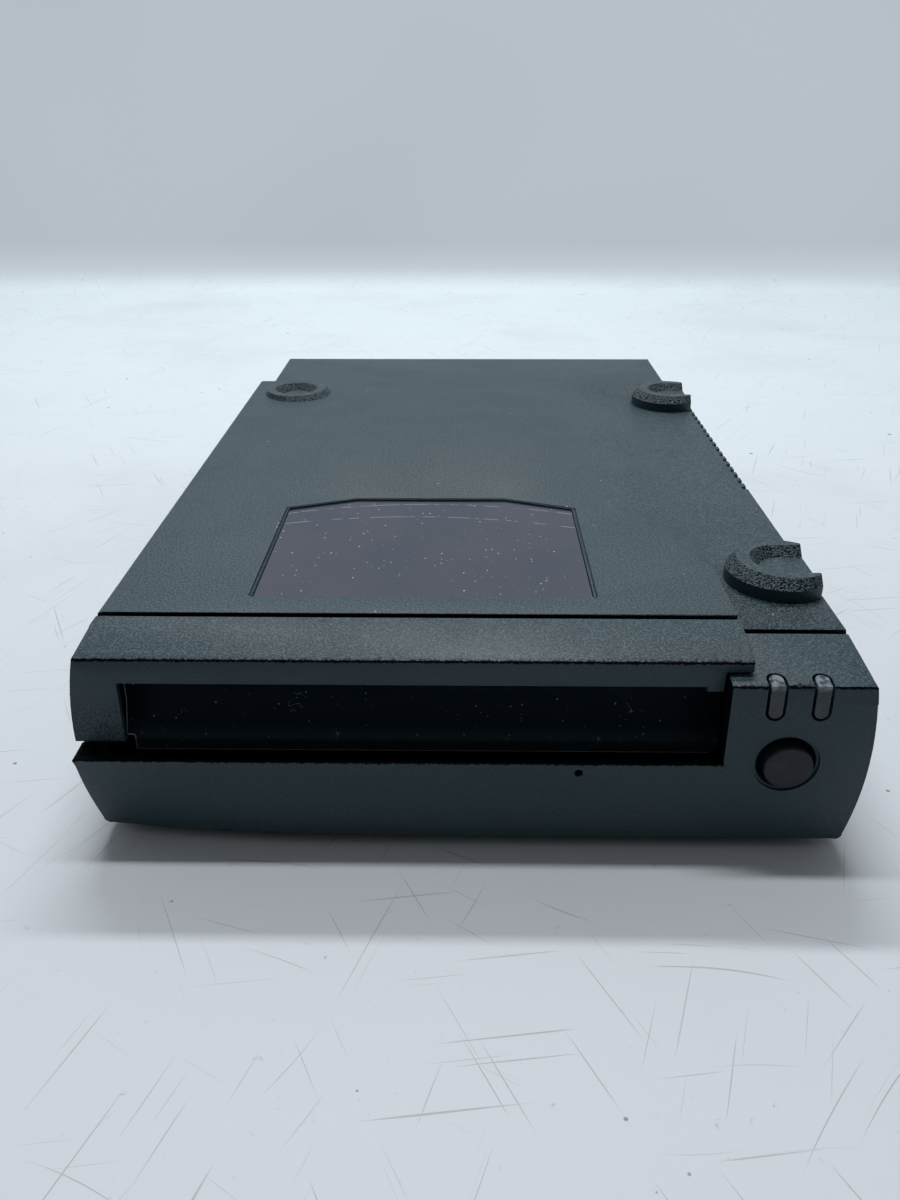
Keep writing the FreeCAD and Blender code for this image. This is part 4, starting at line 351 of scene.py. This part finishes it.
dust, knobs, results = new_group("dust_specks", {"Pitch": 300.0, "Amount": 0.1, "Size": 0.1},
                                 ("Mask",))
spots = add_node(dust, "ShaderNodeTexVoronoi", {"Vector": object_place(dust),
                                                "Scale": knobs["Pitch"]}).outputs
chosen = split(dust, spots["Color"])
present = add_node(dust, "ShaderNodeMath", {0: chosen["X"], 1: knobs["Amount"]},
                   operation="LESS_THAN").outputs[0]
reach = combine(dust, combine(dust, chosen["Y"], 0.3, "ADD"), knobs["Size"])
inside = spread(dust, combine(dust, spots["Distance"], reach, "DIVIDE"), 0.5, 1.0, 1.0, 0.0)
dust.links.new(combine(dust, present, inside), results["Mask"])

case_base, painted_grain_highlight = (0.021, 0.048, 0.060), (0.135, 0.198, 0.228)
painted_grain_shade, hidden_dark = (0.002, 0.008, 0.011), (0.0015, 0.003, 0.006)
line_width = 0.0005


def grained(name, ridges=(), leather_parts=None, shaded_parts=None):
    """Hard plastic with a moulded grain: painted highlights on its tips and painted shade in its
    pits, both stronger on upward faces, leathery in places, and painted dark in others."""
    material, tree, shader = new_finish(name, case_base, 0.5)
    along = split(tree, object_place(tree))
    leather = leather_parts(tree, along) if leather_parts else 0.0
    out = use_group(tree, grain, Depth=0.3, Leather=leather)
    shade = blend_colour(tree, combine(tree, out["Mottle"], 0.25), case_base,
                         tuple(1.25 * c for c in case_base))
    # Painted shade in the grain's pits and a painted highlight on its tips, stronger on faces
    # turned up to the light.
    amount = spread(tree, out["Flat"], 0, 1, 0.10, 0.62)
    shade = blend_colour(tree, combine(tree, out["Pits"], amount), shade, painted_grain_shade)
    shade = blend_colour(tree, combine(tree, out["Tips"], combine(tree, amount, 0.62)), shade,
                         painted_grain_highlight)
    # Leathery grain: painted shade in its wrinkles and a faint painted highlight on its folds.
    if leather_parts:
        shade = blend_colour(tree, combine(tree, out["Wrinkle"], leather), shade, painted_grain_shade)
        shade = blend_colour(tree, combine(tree, combine(tree, out["Fold"], leather), 0.3), shade,
                             painted_grain_highlight)
    # Painted shade: the parts each moulding names as lying in shade are painted nearly black, as
    # are the ragged lines under its ridges, and these lose most of their reflection.
    hidden = shaded_parts(tree, along) if shaded_parts else combine(tree, leather, 0.0)
    for height, right_end in ridges:
        line = use_group(tree, ridge, Height=height, Width=line_width)["Mask"]
        line = combine(tree, line, spread(tree, along["X"], right_end, right_end + 0.0001, 1, 0))
        hidden = combine(tree, hidden, line, "MAXIMUM")
    fluff = use_group(tree, dust, Pitch=420.0, Amount=0.07, Size=0.12)["Mask"]
    shade = blend_colour(tree, combine(tree, fluff, combine(tree, out["Flat"], 0.7)), shade,
                         (0.40, 0.44, 0.46))
    shade = blend_colour(tree, hidden, shade, hidden_dark)
    dull = combine(tree, hidden, combine(tree, combine(tree, out["Wrinkle"], leather), 0.8),
                   "MAXIMUM")
    tree.links.new(spread(tree, dull, 0, 1, 0.36, 0.04), shader.inputs["Specular IOR Level"])
    tree.links.new(shade, shader.inputs["Base Color"])
    tree.links.new(out["Normal"], shader.inputs["Normal"])
    tree.links.new(spread(tree, out["Mottle"], 0, 1, 0.46, 0.54), shader.inputs["Roughness"])
    return material


ring_centres = ((0.0594, -0.06425), (0.0594, 0.05855), (-0.0512, 0.05855))
ring_reach, ring_foot, strip_top, strip_leather_rear = 0.0108, 0.0370, 0.0359, -0.053


def normal_parts(tree):
    return split(tree, add_node(tree, "ShaderNodeNewGeometry").outputs["Normal"])


def ring_slopes(tree, along):
    """The leathery slopes of the stacking rings, and the strip in front of the first."""
    facing = normal_parts(tree)
    leather = combine(tree, spread(tree, along["Z"], strip_top + 0.0003, strip_top),
                      spread(tree, along["Y"], strip_leather_rear, strip_leather_rear - 0.007,
                             0, 0.55))
    spot = add_node(tree, "ShaderNodeCombineXYZ", {"X": along["X"], "Y": along["Y"]}).outputs[0]
    for centre in ring_centres:
        off = add_node(tree, "ShaderNodeVectorMath", {0: spot, 1: (*centre, 0)},
                       operation="DISTANCE").outputs["Value"]
        slope = combine(tree, spread(tree, off, ring_reach - 0.0004, ring_reach, 1.0, 0.0),
                        spread(tree, along["Z"], ring_foot, ring_foot + 0.0007))
        slope = combine(tree, slope, combine(tree, spread(tree, facing["Z"], 0.3, 0.5),
                                             spread(tree, facing["Z"], 0.96, 0.9)))
        leather = combine(tree, leather, slope, "MAXIMUM")
    return leather


lid_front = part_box("top_cover")[0][1]


def seam_wall(tree, along):
    """The lid's front wall, which stands in the shade of the seam."""
    return combine(tree, spread(tree, along["Y"], lid_front + 0.0004, lid_front + 0.0001),
                   spread(tree, normal_parts(tree)["Z"], 0.5, 0.1))


ramp_left, ramp_right, ramp_front, ramp_low, ramp_high = 0.028, 0.0665, -0.0658, 0.0352, 0.0386


def not_on_ramp(edge):
    """Leaves the soft ramp beside the step out of the rounding, but not the rings."""
    middle = (edge.verts[0].co + edge.verts[1].co) / 2
    return not (ramp_left < middle.x < ramp_right and middle.y > ramp_front
                and ramp_low < middle.z < ramp_high
                and all((middle.xy - Vector(centre)).length > 0.0105 for centre in ring_centres))


lid_grain = grained("lid_grain", leather_parts=ring_slopes, shaded_parts=seam_wall)
lid = moulding("top_cover", "lid", 0.00022, keep=not_on_ramp)
finish(lid, lid_grain, "housing")
bottom = moulding("bottom_case", "bottom", 0.00022)
finish(bottom, grained("case_grain"), "housing")

# Front panel: the beam under the slot and the block at its right, one moulding in the
# case's colour, with the same grain on top and a smoother face. A ragged dark line runs
# along each upper edge, where the grained top stops.
seam_front = lid_front - 0.0016
slot_right, beam_top, ridge_top, visor_top = 0.0430, 0.0188, 0.03385, 0.0366
everywhere = 0.2


def visor_tongue(tree, along):
    """The lap behind the visor, down in the seam, painted dark as shade."""
    return spread(tree, along["Y"], seam_front, seam_front + 0.0003)


def panel_shades(tree, along):
    """Painted shade on the panel's lap in the seam, the beam's hollow top and the slot's right
    wall.
    """
    facing = normal_parts(tree)
    hollow = combine(tree, spread(tree, along["Z"], beam_top - 0.0003, beam_top - 0.0001),
                     spread(tree, along["X"], slot_right, slot_right + 0.0002, 1, 0))
    hollow = combine(tree, hollow, spread(tree, along["Z"], beam_top + 0.0001,
                                          beam_top + 0.0003, 1, 0))
    wall = combine(tree, spread(tree, facing["X"], -0.4, -0.8),
                   spread(tree, along["X"], 0.050, 0.052, 1, 0))
    wall = combine(tree, wall, spread(tree, along["X"], 0.038, 0.040))
    hollow = combine(tree, hollow, wall, "MAXIMUM")
    return combine(tree, visor_tongue(tree, along), hollow, "MAXIMUM")


panel = moulding("front_panel", "front_moulding", 0.00025)
finish(panel, grained("panel_grain", ridges=((ridge_top, everywhere), (beam_top, slot_right)),
                      shaded_parts=panel_shades), "housing")


def visor_leg(tree, along):
    """The foot of the visor's left leg, where the grain turns leathery."""
    return combine(tree, spread(tree, along["X"], -0.050, -0.060),
                   spread(tree, along["Z"], 0.033, 0.022, 0.0, 0.6))


visor = moulding("slot_visor", "visor", 0.00025)
finish(visor, grained("visor_grain", ridges=((visor_top, everywhere),),
                      leather_parts=visor_leg, shaded_parts=visor_tongue),
       "housing")

# Window: a smoked clear pane let into the lid from inside. It is glossy, with dust and
# hair scratches, and two fine arcs of wear along its rear edge.
smoked, tree, shader = new_finish("smoked_pane", (0.014, 0.009, 0.02), 0.16)
shader.inputs["Specular IOR Level"].default_value = 0.62
place = object_place(tree)
pane_colour = blend_colour(tree, spread(tree, noise(tree, place, 60, 3), 0.35, 0.7),
                           (0.017, 0.024, 0.047), (0.034, 0.030, 0.054))
across = split(tree, place)
broken = spread(tree, noise(tree, place, 320, 2), 0.44, 0.56)
wear_arcs = (((-0.0085, -0.1192), 0.0878), ((-0.0111, -0.1359), 0.0972))
for centre, radius in wear_arcs:
    flat_place = add_node(tree, "ShaderNodeCombineXYZ", {"X": across["X"], "Y": across["Y"]})
    off = add_node(tree, "ShaderNodeVectorMath", {0: flat_place.outputs[0], 1: (*centre, 0)},
                   operation="DISTANCE").outputs["Value"]
    gap = add_node(tree, "ShaderNodeMath", {0: combine(tree, off, radius, "SUBTRACT")},
                   operation="ABSOLUTE").outputs[0]
    arc = combine(tree, spread(tree, gap, 0.00006, 0.00022, 1.0, 0.0),
                  spread(tree, broken, 0, 1, 0.05, 0.7))
    pane_colour = blend_colour(tree, combine(tree, arc, 0.75), pane_colour, (0.42, 0.44, 0.50))
fine_dust = use_group(tree, dust, Pitch=900.0, Amount=0.34, Size=0.18)["Mask"]
pane_colour = blend_colour(tree, combine(tree, fine_dust, 0.8), pane_colour, (0.62, 0.60, 0.64))
tree.links.new(pane_colour, shader.inputs["Base Color"])
tree.links.new(spread(tree, noise(tree, place, 90, 4), 0.3, 0.7, 0.12, 0.24),
               shader.inputs["Roughness"])
window = moulding("viewing_window", "window_pane", 0.0)
finish(window, smoked, "housing")

# Dust door: a glossy black flap that hangs from the slot frame on two pins. Its lower
# part leans forward, a painted highlight runs along its cut edges, its colour is painted
# darker at the top and lighter low down as shade and reflection, and lint clings to its face.
gloss_black, tree, shader = new_finish("gloss_black", (0.003, 0.005, 0.007), 0.45)
shader.inputs["Specular IOR Level"].default_value = 0.05
place = object_place(tree)
along = split(tree, place)
leaf_left, leaf_bottom, notch_right, notch_top, corner_cut = (-0.05965, 0.0172, -0.05825,
                                                               0.0201, 0.02455)
left_edge = spread(tree, along["Z"], notch_top - 0.00002, notch_top + 0.00002,
                   notch_right, leaf_left)
lower_edge = spread(tree, along["X"], notch_right - 0.00002, notch_right + 0.00002,
                    notch_top, leaf_bottom)
cut_corner = combine(tree, corner_cut, combine(tree, along["X"], along["Z"], "SUBTRACT"),
                     "SUBTRACT")
inward = combine(tree, combine(tree, along["X"], left_edge, "SUBTRACT"),
                 combine(tree, along["Z"], lower_edge, "SUBTRACT"), "MINIMUM")
inward = combine(tree, inward, cut_corner, "MINIMUM")
# Painted highlight: a light line along the door's left and lower edges and its cut corner, where
# light catches them.
painted_edge_highlight = combine(tree, spread(tree, inward, 0.00014, 0.00026, 1.0, 0.0),
               spread(tree, along["Z"], 0.0285, 0.0300, 1.0, 0.0))
# Painted shade and reflection: darker at the top under the visor, lighter low down where the floor
# is reflected.
door_colour = blend_colour(tree, spread(tree, along["Z"], 0.0225, 0.0190),
                           (0.0016, 0.0075, 0.0130), (0.018, 0.038, 0.052))
door_colour = blend_colour(tree, combine(tree, painted_edge_highlight, 0.9), door_colour, (0.55, 0.60, 0.68))
swirl = add_node(tree, "ShaderNodeMath", {0: combine(tree, noise(tree, place, 620, 1, 0.4), 0.5,
                                                     "SUBTRACT")}, operation="ABSOLUTE").outputs[0]
where = spread(tree, noise(tree, place, 240, 1), 0.68, 0.70)
hair = combine(tree, spread(tree, swirl, 0.004, 0.012, 1.0, 0.0), where)
door_colour = blend_colour(tree, combine(tree, hair, 0.35), door_colour, (0.38, 0.40, 0.44))
lint = use_group(tree, dust, Pitch=1000.0, Amount=0.30, Size=0.18)["Mask"]
door_colour = blend_colour(tree, combine(tree, lint, 0.6), door_colour, (0.22, 0.24, 0.26))
tree.links.new(door_colour, shader.inputs["Base Color"])
tree.links.new(spread(tree, noise(tree, place, 120, 3), 0.3, 0.7, 0.42, 0.55),
               shader.inputs["Roughness"])
door = moulding("dust_door", "door", 0.00014)
finish(door, gloss_black, "dust_door")

# Eject button: one bluish moulding with a dished cap, pushed in against a coil spring.
def roughen(tree, shader, height, depth, strength=1.0):
    """Fine relief on the surface, from a height between 0 and 1."""
    bump = add_node(tree, "ShaderNodeBump", {"Strength": strength, "Distance": depth,
                                             "Height": height})
    tree.links.new(bump.outputs["Normal"], shader.inputs["Normal"])


satin, tree, shader = new_finish("button_satin", (0.010, 0.013, 0.021), 0.4)
shader.inputs["Specular IOR Level"].default_value = 0.3
place = object_place(tree)
cap_colour = blend_colour(tree, spread(tree, noise(tree, place, 700, 3), 0.35, 0.7),
                          (0.008, 0.011, 0.018), (0.013, 0.017, 0.025))
tree.links.new(cap_colour, shader.inputs["Base Color"])
roughen(tree, shader, noise(tree, place, 1800, 2), 0.00002)
button = moulding("eject_button", "button", 0.00018, shortest=0.0001)
finish(button, satin, "eject_button")

# Light pipes: two bars of clear plastic that carry the lamps' light round the panel's
# upper edge. They are grey with the dark inside behind them, and a painted highlight makes
# them bright where they turn.
clear_bar, tree, shader = new_finish("clear_bar", (0.05, 0.058, 0.064), 0.22)
place = object_place(tree)
turn_height = 0.0330
# Painted highlight: the bars are lighter where they turn over the top.
upper = spread(tree, split(tree, place)["Z"], turn_height - 0.0004, turn_height + 0.0004)
bar_colour = blend_colour(tree, spread(tree, noise(tree, place, 700, 2), 0.3, 0.7),
                          (0.012, 0.020, 0.027), (0.026, 0.037, 0.046))
paint(tree, shader, combine(tree, upper, spread(tree, noise(tree, place, 900, 2), 0.35, 0.6)),
      bar_colour, (0.19, 0.22, 0.25))
tree.links.new(spread(tree, noise(tree, place, 900, 2), 0.3, 0.7, 0.16, 0.3),
               shader.inputs["Roughness"])
for side in ("left", "right"):
    bar = moulding(f"light_pipe_{side}", f"light_bar_{side}", 0.0)
    finish(bar, clear_bar, "housing")

# Slot frame and small black mouldings: sockets, switches, the fan and the button's
# neighbours, all hard black plastic with a fine matt skin.
black_moulded, tree, shader = new_finish("black_moulded", (0.010, 0.011, 0.012), 0.5)
place = object_place(tree)
paint(tree, shader, spread(tree, noise(tree, place, 500, 4, 0.7), 0.4, 0.7), (0.008, 0.009, 0.010),
      (0.022, 0.024, 0.026))
roughen(tree, shader, noise(tree, place, 1700, 2), 0.00003)
deep_black, tree, shader = new_finish("deep_black", (0.0025, 0.003, 0.0035), 0.6)
shader.inputs["Specular IOR Level"].default_value = 0.2
place = object_place(tree)
paint(tree, shader, spread(tree, noise(tree, place, 300, 4), 0.4, 0.7), (0.0018, 0.002, 0.0025),
      (0.005, 0.005, 0.006))


def cover_nodes(material, *names):
    """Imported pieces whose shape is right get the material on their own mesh."""
    for name in names:
        nodes[name].data.materials.clear()
        nodes[name].data.materials.append(material)


cover_nodes(deep_black, "slot_frame")
cover_nodes(black_moulded, "fan_frame", "fan_rotor", "data_socket_lower", "data_socket_upper",
            "power_jack", "power_switch_body", "power_rocker", "number_wheel_case",
            "slide_switch_body", "board_header", "eject_switch", "head_ramp",
            "cartridge_guide_left", "cartridge_guide_right", "drive_connector", "board_chips")

# Socket contacts: gilt strips on both faces of each data socket's tongue, in rows of
# twenty-five, pressed into the moulding from behind.
gilt, tree, shader = new_finish("gilt_strip", (0.72, 0.50, 0.20), 0.32, 1.0)
place = object_place(tree)
paint(tree, shader, spread(tree, noise(tree, place, 800, 3), 0.4, 0.7), (0.74, 0.52, 0.21),
      (0.52, 0.36, 0.16))
row_length, row_pitch, tongue_thick, tongue_end = 25, 0.0012, 0.0018, 0.0012
strip_width, strip_length, strip_thick = 0.0006, 0.0080, 0.00016
for level in ("upper", "lower"):
    low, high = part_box(f"data_socket_{level}")
    middle = [(a + b) / 2 for a, b in zip(low, high)]
    bpy.ops.object.select_all(action="DESELECT")
    bpy.ops.mesh.primitive_cube_add(size=1, location=(0, 0, 0))
    strips = bpy.context.object
    strips.name = f"socket_contacts_{level}"
    first = (middle[0] - row_pitch * (row_length - 1) / 2,
             high[1] - tongue_end - 0.0002 - strip_length / 2, middle[2] - tongue_thick / 2)
    strips.data.transform(Matrix.Translation(first)
                          @ Matrix.Diagonal((strip_width, strip_length, strip_thick, 1)))
    for count, step in ((row_length, (row_pitch, 0, 0)), (2, (0, 0, tongue_thick))):
        rows = strips.modifiers.new("rows", "ARRAY")
        rows.count = count
        rows.use_relative_offset = False
        rows.use_constant_offset = True
        rows.constant_offset_displace = step
        bpy.ops.object.modifier_apply(modifier=rows.name)
    finish(strips, gilt, "housing")

# Springs: three coils of bright steel wire. One pushes the button out, one pulls the
# sled back, and one closes the door from its hinge pin.
bright_wire, tree, shader = new_finish("bright_wire", (0.50, 0.51, 0.53), 0.28, 1.0)
place = object_place(tree)
tree.links.new(spread(tree, noise(tree, place, 1500, 3), 0.3, 0.7, 0.2, 0.38),
               shader.inputs["Roughness"])
paint(tree, shader, spread(tree, noise(tree, place, 400, 3), 0.4, 0.7), (0.52, 0.53, 0.55),
      (0.38, 0.37, 0.36))


def coil(name, radius, wire, turns, start, end):
    """A helix of round wire between two points, its ends lying against its neighbours."""
    span = Vector(end) - Vector(start)
    bpy.ops.object.select_all(action="DESELECT")
    bpy.ops.mesh.primitive_circle_add(vertices=8, radius=wire / 2, location=(0, 0, 0),
                                      rotation=(math.pi / 2, 0, 0))
    piece = bpy.context.object
    piece.name = name
    piece.data.transform(Matrix.Translation((radius, 0, 0)) @ piece.matrix_basis)
    piece.matrix_basis = Matrix.Identity(4)
    screw = piece.modifiers.new("winding", "SCREW")
    screw.axis = "Z"
    screw.screw_offset = (span.length - wire) / turns
    screw.iterations = turns
    screw.steps = screw.render_steps = 20
    screw.use_merge_vertices = False
    bpy.ops.object.modifier_apply(modifier="winding")
    bpy.ops.object.mode_set(mode="EDIT")
    bpy.ops.mesh.select_all(action="SELECT")
    bpy.ops.mesh.remove_doubles(threshold=1e-7)
    bpy.ops.mesh.select_all(action="DESELECT")
    bpy.ops.mesh.select_non_manifold(extend=False)
    bpy.ops.mesh.edge_face_add()
    bpy.ops.mesh.select_all(action="SELECT")
    bpy.ops.mesh.normals_make_consistent(inside=False)
    bpy.ops.object.mode_set(mode="OBJECT")
    turn = Vector((0, 0, 1)).rotation_difference(span).to_matrix().to_4x4()
    piece.data.transform(Matrix.Translation(start) @ turn @ Matrix.Translation((0, 0, wire / 2)))
    bpy.ops.object.shade_smooth()
    return piece


button_back, board_seat = (0.0535, -0.09585, 0.0189), (0.0535, -0.09145, 0.0189)
deck_hook, sled_hook = (-0.00815, -0.0022, 0.0106), (-0.00815, -0.016, 0.0106)
pin_left, pin_right = (-0.05935, -0.09235, 0.0323), (-0.05395, -0.09235, 0.0323)
button_coil = coil("button_coil", 0.00435, 0.0005, 5, button_back, board_seat)
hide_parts("button_spring")
finish(button_coil, bright_wire, "housing")
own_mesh(button_coil)
sled_coil = coil("sled_coil", 0.0014, 0.0004, 16, deck_hook, sled_hook)
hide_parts("sled_spring")
sled_coil.data.materials.append(bright_wire)
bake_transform(sled_coil)
hinge_coil = coil("hinge_coil", 0.00102, 0.00035, 12, pin_left, pin_right)
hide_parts("door_spring")
finish(hinge_coil, bright_wire, "housing")

# Mechanism: a die-cast deck with a zinc-plated sheet cover and shield, on two steel
# rails, with the eject sled and the motor carrier pressed from the same sheet.
cast_metal, tree, shader = new_finish("cast_metal", (0.52, 0.53, 0.55), 0.5, 1.0)
place = object_place(tree)
paint(tree, shader, spread(tree, noise(tree, place, 220, 5, 0.65), 0.35, 0.65), (0.42, 0.43, 0.45),
      (0.58, 0.59, 0.61))
roughen(tree, shader, noise(tree, place, 900, 4, 0.6), 0.00006, 0.8)
tree.links.new(spread(tree, noise(tree, place, 300, 3), 0.3, 0.7, 0.42, 0.6),
               shader.inputs["Roughness"])
plated, tree, shader = new_finish("plated_sheet", (0.58, 0.59, 0.58), 0.36, 1.0)
place = object_place(tree)
stretched = add_node(tree, "ShaderNodeMapping", {"Vector": place, "Scale": (0.06, 1.0, 1.0)})
rolled = noise(tree, stretched.outputs[0], 2600, 3, 0.6)
spangle = split(tree, add_node(tree, "ShaderNodeTexVoronoi", {"Vector": place, "Scale": 170.0}
                               ).outputs["Color"])["X"]
paint(tree, shader, spread(tree, spangle, 0, 1, 0.0, 0.5), (0.60, 0.61, 0.60), (0.48, 0.49, 0.50))
tree.links.new(combine(tree, spread(tree, rolled, 0.3, 0.7, 0.26, 0.4),
                       combine(tree, spangle, 0.08), "ADD"), shader.inputs["Roughness"])
roughen(tree, shader, rolled, 0.00001, 0.5)
cover_nodes(cast_metal, "base_casting")
cover_nodes(plated, "mechanism_cover", "emi_shield", "mounting_rail_left",
            "mounting_rail_right", "rear_panel", "eject_sled", "motor_carrier", "spindle_hub")

# Machined and plated parts: the head arm, its pivot, the magnets and their yokes, the
# screws, and the motor's copper windings.
machined, tree, shader = new_finish("machined_metal", (0.66, 0.67, 0.69), 0.26, 1.0)
place = object_place(tree)
turned = add_node(tree, "ShaderNodeTexWave", {"Vector": place, "Scale": 900.0, "Distortion": 1.5},
                  wave_type="RINGS", rings_direction="Z").outputs["Fac"]
tree.links.new(spread(tree, turned, 0, 1, 0.2, 0.34), shader.inputs["Roughness"])
paint(tree, shader, spread(tree, noise(tree, place, 260, 3), 0.4, 0.7), (0.68, 0.69, 0.71),
      (0.56, 0.57, 0.59))
cover_nodes(machined, "head_arm", "pivot_post", "yoke_posts", "solenoid_plunger")
nickel, tree, shader = new_finish("nickel_plate", (0.56, 0.55, 0.53), 0.24, 1.0)
place = object_place(tree)
paint(tree, shader, spread(tree, noise(tree, place, 350, 4, 0.6), 0.45, 0.7), (0.60, 0.59, 0.56),
      (0.44, 0.43, 0.41))
tree.links.new(spread(tree, noise(tree, place, 800, 3), 0.3, 0.7, 0.18, 0.34),
               shader.inputs["Roughness"])
cover_nodes(nickel, "arc_magnets", "magnet_plate_lower", "magnet_plate_upper", "rotor_magnet",
            "case_screws", "mechanism_screws")
copper, tree, shader = new_finish("copper_winding", (0.62, 0.30, 0.14), 0.3, 1.0)
place = object_place(tree)
strands = add_node(tree, "ShaderNodeTexWave", {"Vector": place, "Scale": 1300.0,
                                               "Distortion": 2.0, "Detail": 1.0},
                   bands_direction="Z").outputs["Fac"]
paint(tree, shader, strands, (0.40, 0.16, 0.07), (0.74, 0.40, 0.20))
roughen(tree, shader, strands, 0.00005)
cover_nodes(copper, "voice_coil", "motor_stator", "eject_solenoid")

# Boards: glass fibre with green solder mask over copper tracks, and green lamps.
mask_green, tree, shader = new_finish("solder_mask", (0.012, 0.085, 0.04), 0.3)
place = object_place(tree)
tracks = add_node(tree, "ShaderNodeTexVoronoi", {"Vector": place, "Scale": 330.0},
                  feature="F1", distance="CHEBYCHEV").outputs["Distance"]
ways = spread(tree, add_node(tree, "ShaderNodeMath", {0: combine(tree, tracks, 9.0), 1: 1.0},
                             operation="PINGPONG").outputs[0], 0.35, 0.6)
paint(tree, shader, ways, (0.008, 0.060, 0.028), (0.020, 0.125, 0.055))
roughen(tree, shader, ways, 0.00003, 0.6)
cover_nodes(mask_green, "front_board", "drive_board", "interface_board")
lamp_resin, tree, shader = new_finish("lamp_resin", (0.30, 0.46, 0.28), 0.16)
place = object_place(tree)
paint(tree, shader, spread(tree, noise(tree, place, 600, 2), 0.3, 0.7), (0.26, 0.42, 0.24),
      (0.36, 0.52, 0.33))
cover_nodes(lamp_resin, "status_lamps")

# Cables: a grey ribbon of moulded conductors, and an amber film with etched tracks.
ribbon_grey, tree, shader = new_finish("ribbon_grey", (0.30, 0.30, 0.31), 0.5)
place = object_place(tree)
cores = add_node(tree, "ShaderNodeTexWave", {"Vector": place, "Scale": 390.0},
                 bands_direction="X").outputs["Fac"]
paint(tree, shader, cores, (0.20, 0.20, 0.21), (0.36, 0.36, 0.37))
roughen(tree, shader, cores, 0.0002)
cover_nodes(ribbon_grey, "ribbon_cable")
amber_film, tree, shader = new_finish("amber_film", (0.36, 0.14, 0.025), 0.25)
place = object_place(tree)
etched = add_node(tree, "ShaderNodeTexWave", {"Vector": place, "Scale": 520.0},
                  bands_direction="Z").outputs["Fac"]
paint(tree, shader, spread(tree, etched, 0.45, 0.6), (0.42, 0.17, 0.03), (0.22, 0.08, 0.02))
cover_nodes(amber_film, "head_flex")

# Number wheel and slider: ivory mouldings in the rear panel's black cases. The wheel has
# the digits 0 to 7 printed round its rim, one for each of its eight stops.
ivory, tree, shader = new_finish("ivory_moulding", (0.60, 0.56, 0.46), 0.42)
place = object_place(tree)
paint(tree, shader, spread(tree, noise(tree, place, 300, 4), 0.35, 0.7), (0.62, 0.58, 0.48),
      (0.50, 0.46, 0.37))
cover_nodes(ivory, "number_wheel", "termination_slider")
print_ink, tree, shader = new_finish("printed_digit", (0.01, 0.01, 0.012), 0.5)
place = object_place(tree)
paint(tree, shader, spread(tree, noise(tree, place, 1500, 3), 0.5, 0.75), (0.010, 0.010, 0.012),
      (0.05, 0.05, 0.05))
wheel_axis, wheel_radius, wheel_stops = Vector((0.0395, 0.09335, 0.0270)), 0.0060, 8
digit_height, ink_thick = 0.0036, 0.00002
to_rear = Matrix(((-1, 0, 0, 0), (0, 0, 1, 0), (0, 1, 0, 0), (0, 0, 0, 1)))
for stop in range(wheel_stops):
    bpy.ops.object.select_all(action="DESELECT")
    bpy.ops.object.text_add(location=(0, 0, 0))
    digit = bpy.context.object
    digit.data.body = str(stop)
    digit.data.size = digit_height
    digit.data.align_x = "CENTER"
    digit.data.align_y = "CENTER"
    digit.data.extrude = ink_thick
    bpy.ops.object.convert(target="MESH")
    digit = bpy.context.object
    digit.name = f"wheel_digit_{stop}"
    turn = Matrix.Rotation(math.radians(360 / wheel_stops * stop), 4, "X")
    digit.data.transform(Matrix.Translation(wheel_axis) @ turn
                         @ Matrix.Translation((0, wheel_radius, 0)) @ to_rear)
    finish(digit, print_ink, "number_wheel")

# Feet: four pads of soft black rubber glued into round seats in the bottom, dull, with
# a little dust in their skin.
soft_rubber, tree, shader = new_finish("soft_rubber", (0.016, 0.016, 0.017), 0.78)
place = object_place(tree)
paint(tree, shader, spread(tree, noise(tree, place, 500, 5, 0.7), 0.45, 0.75),
      (0.013, 0.013, 0.014), (0.045, 0.045, 0.045))
roughen(tree, shader, noise(tree, place, 1500, 3), 0.00004)
cover_nodes(soft_rubber, "rubber_feet")
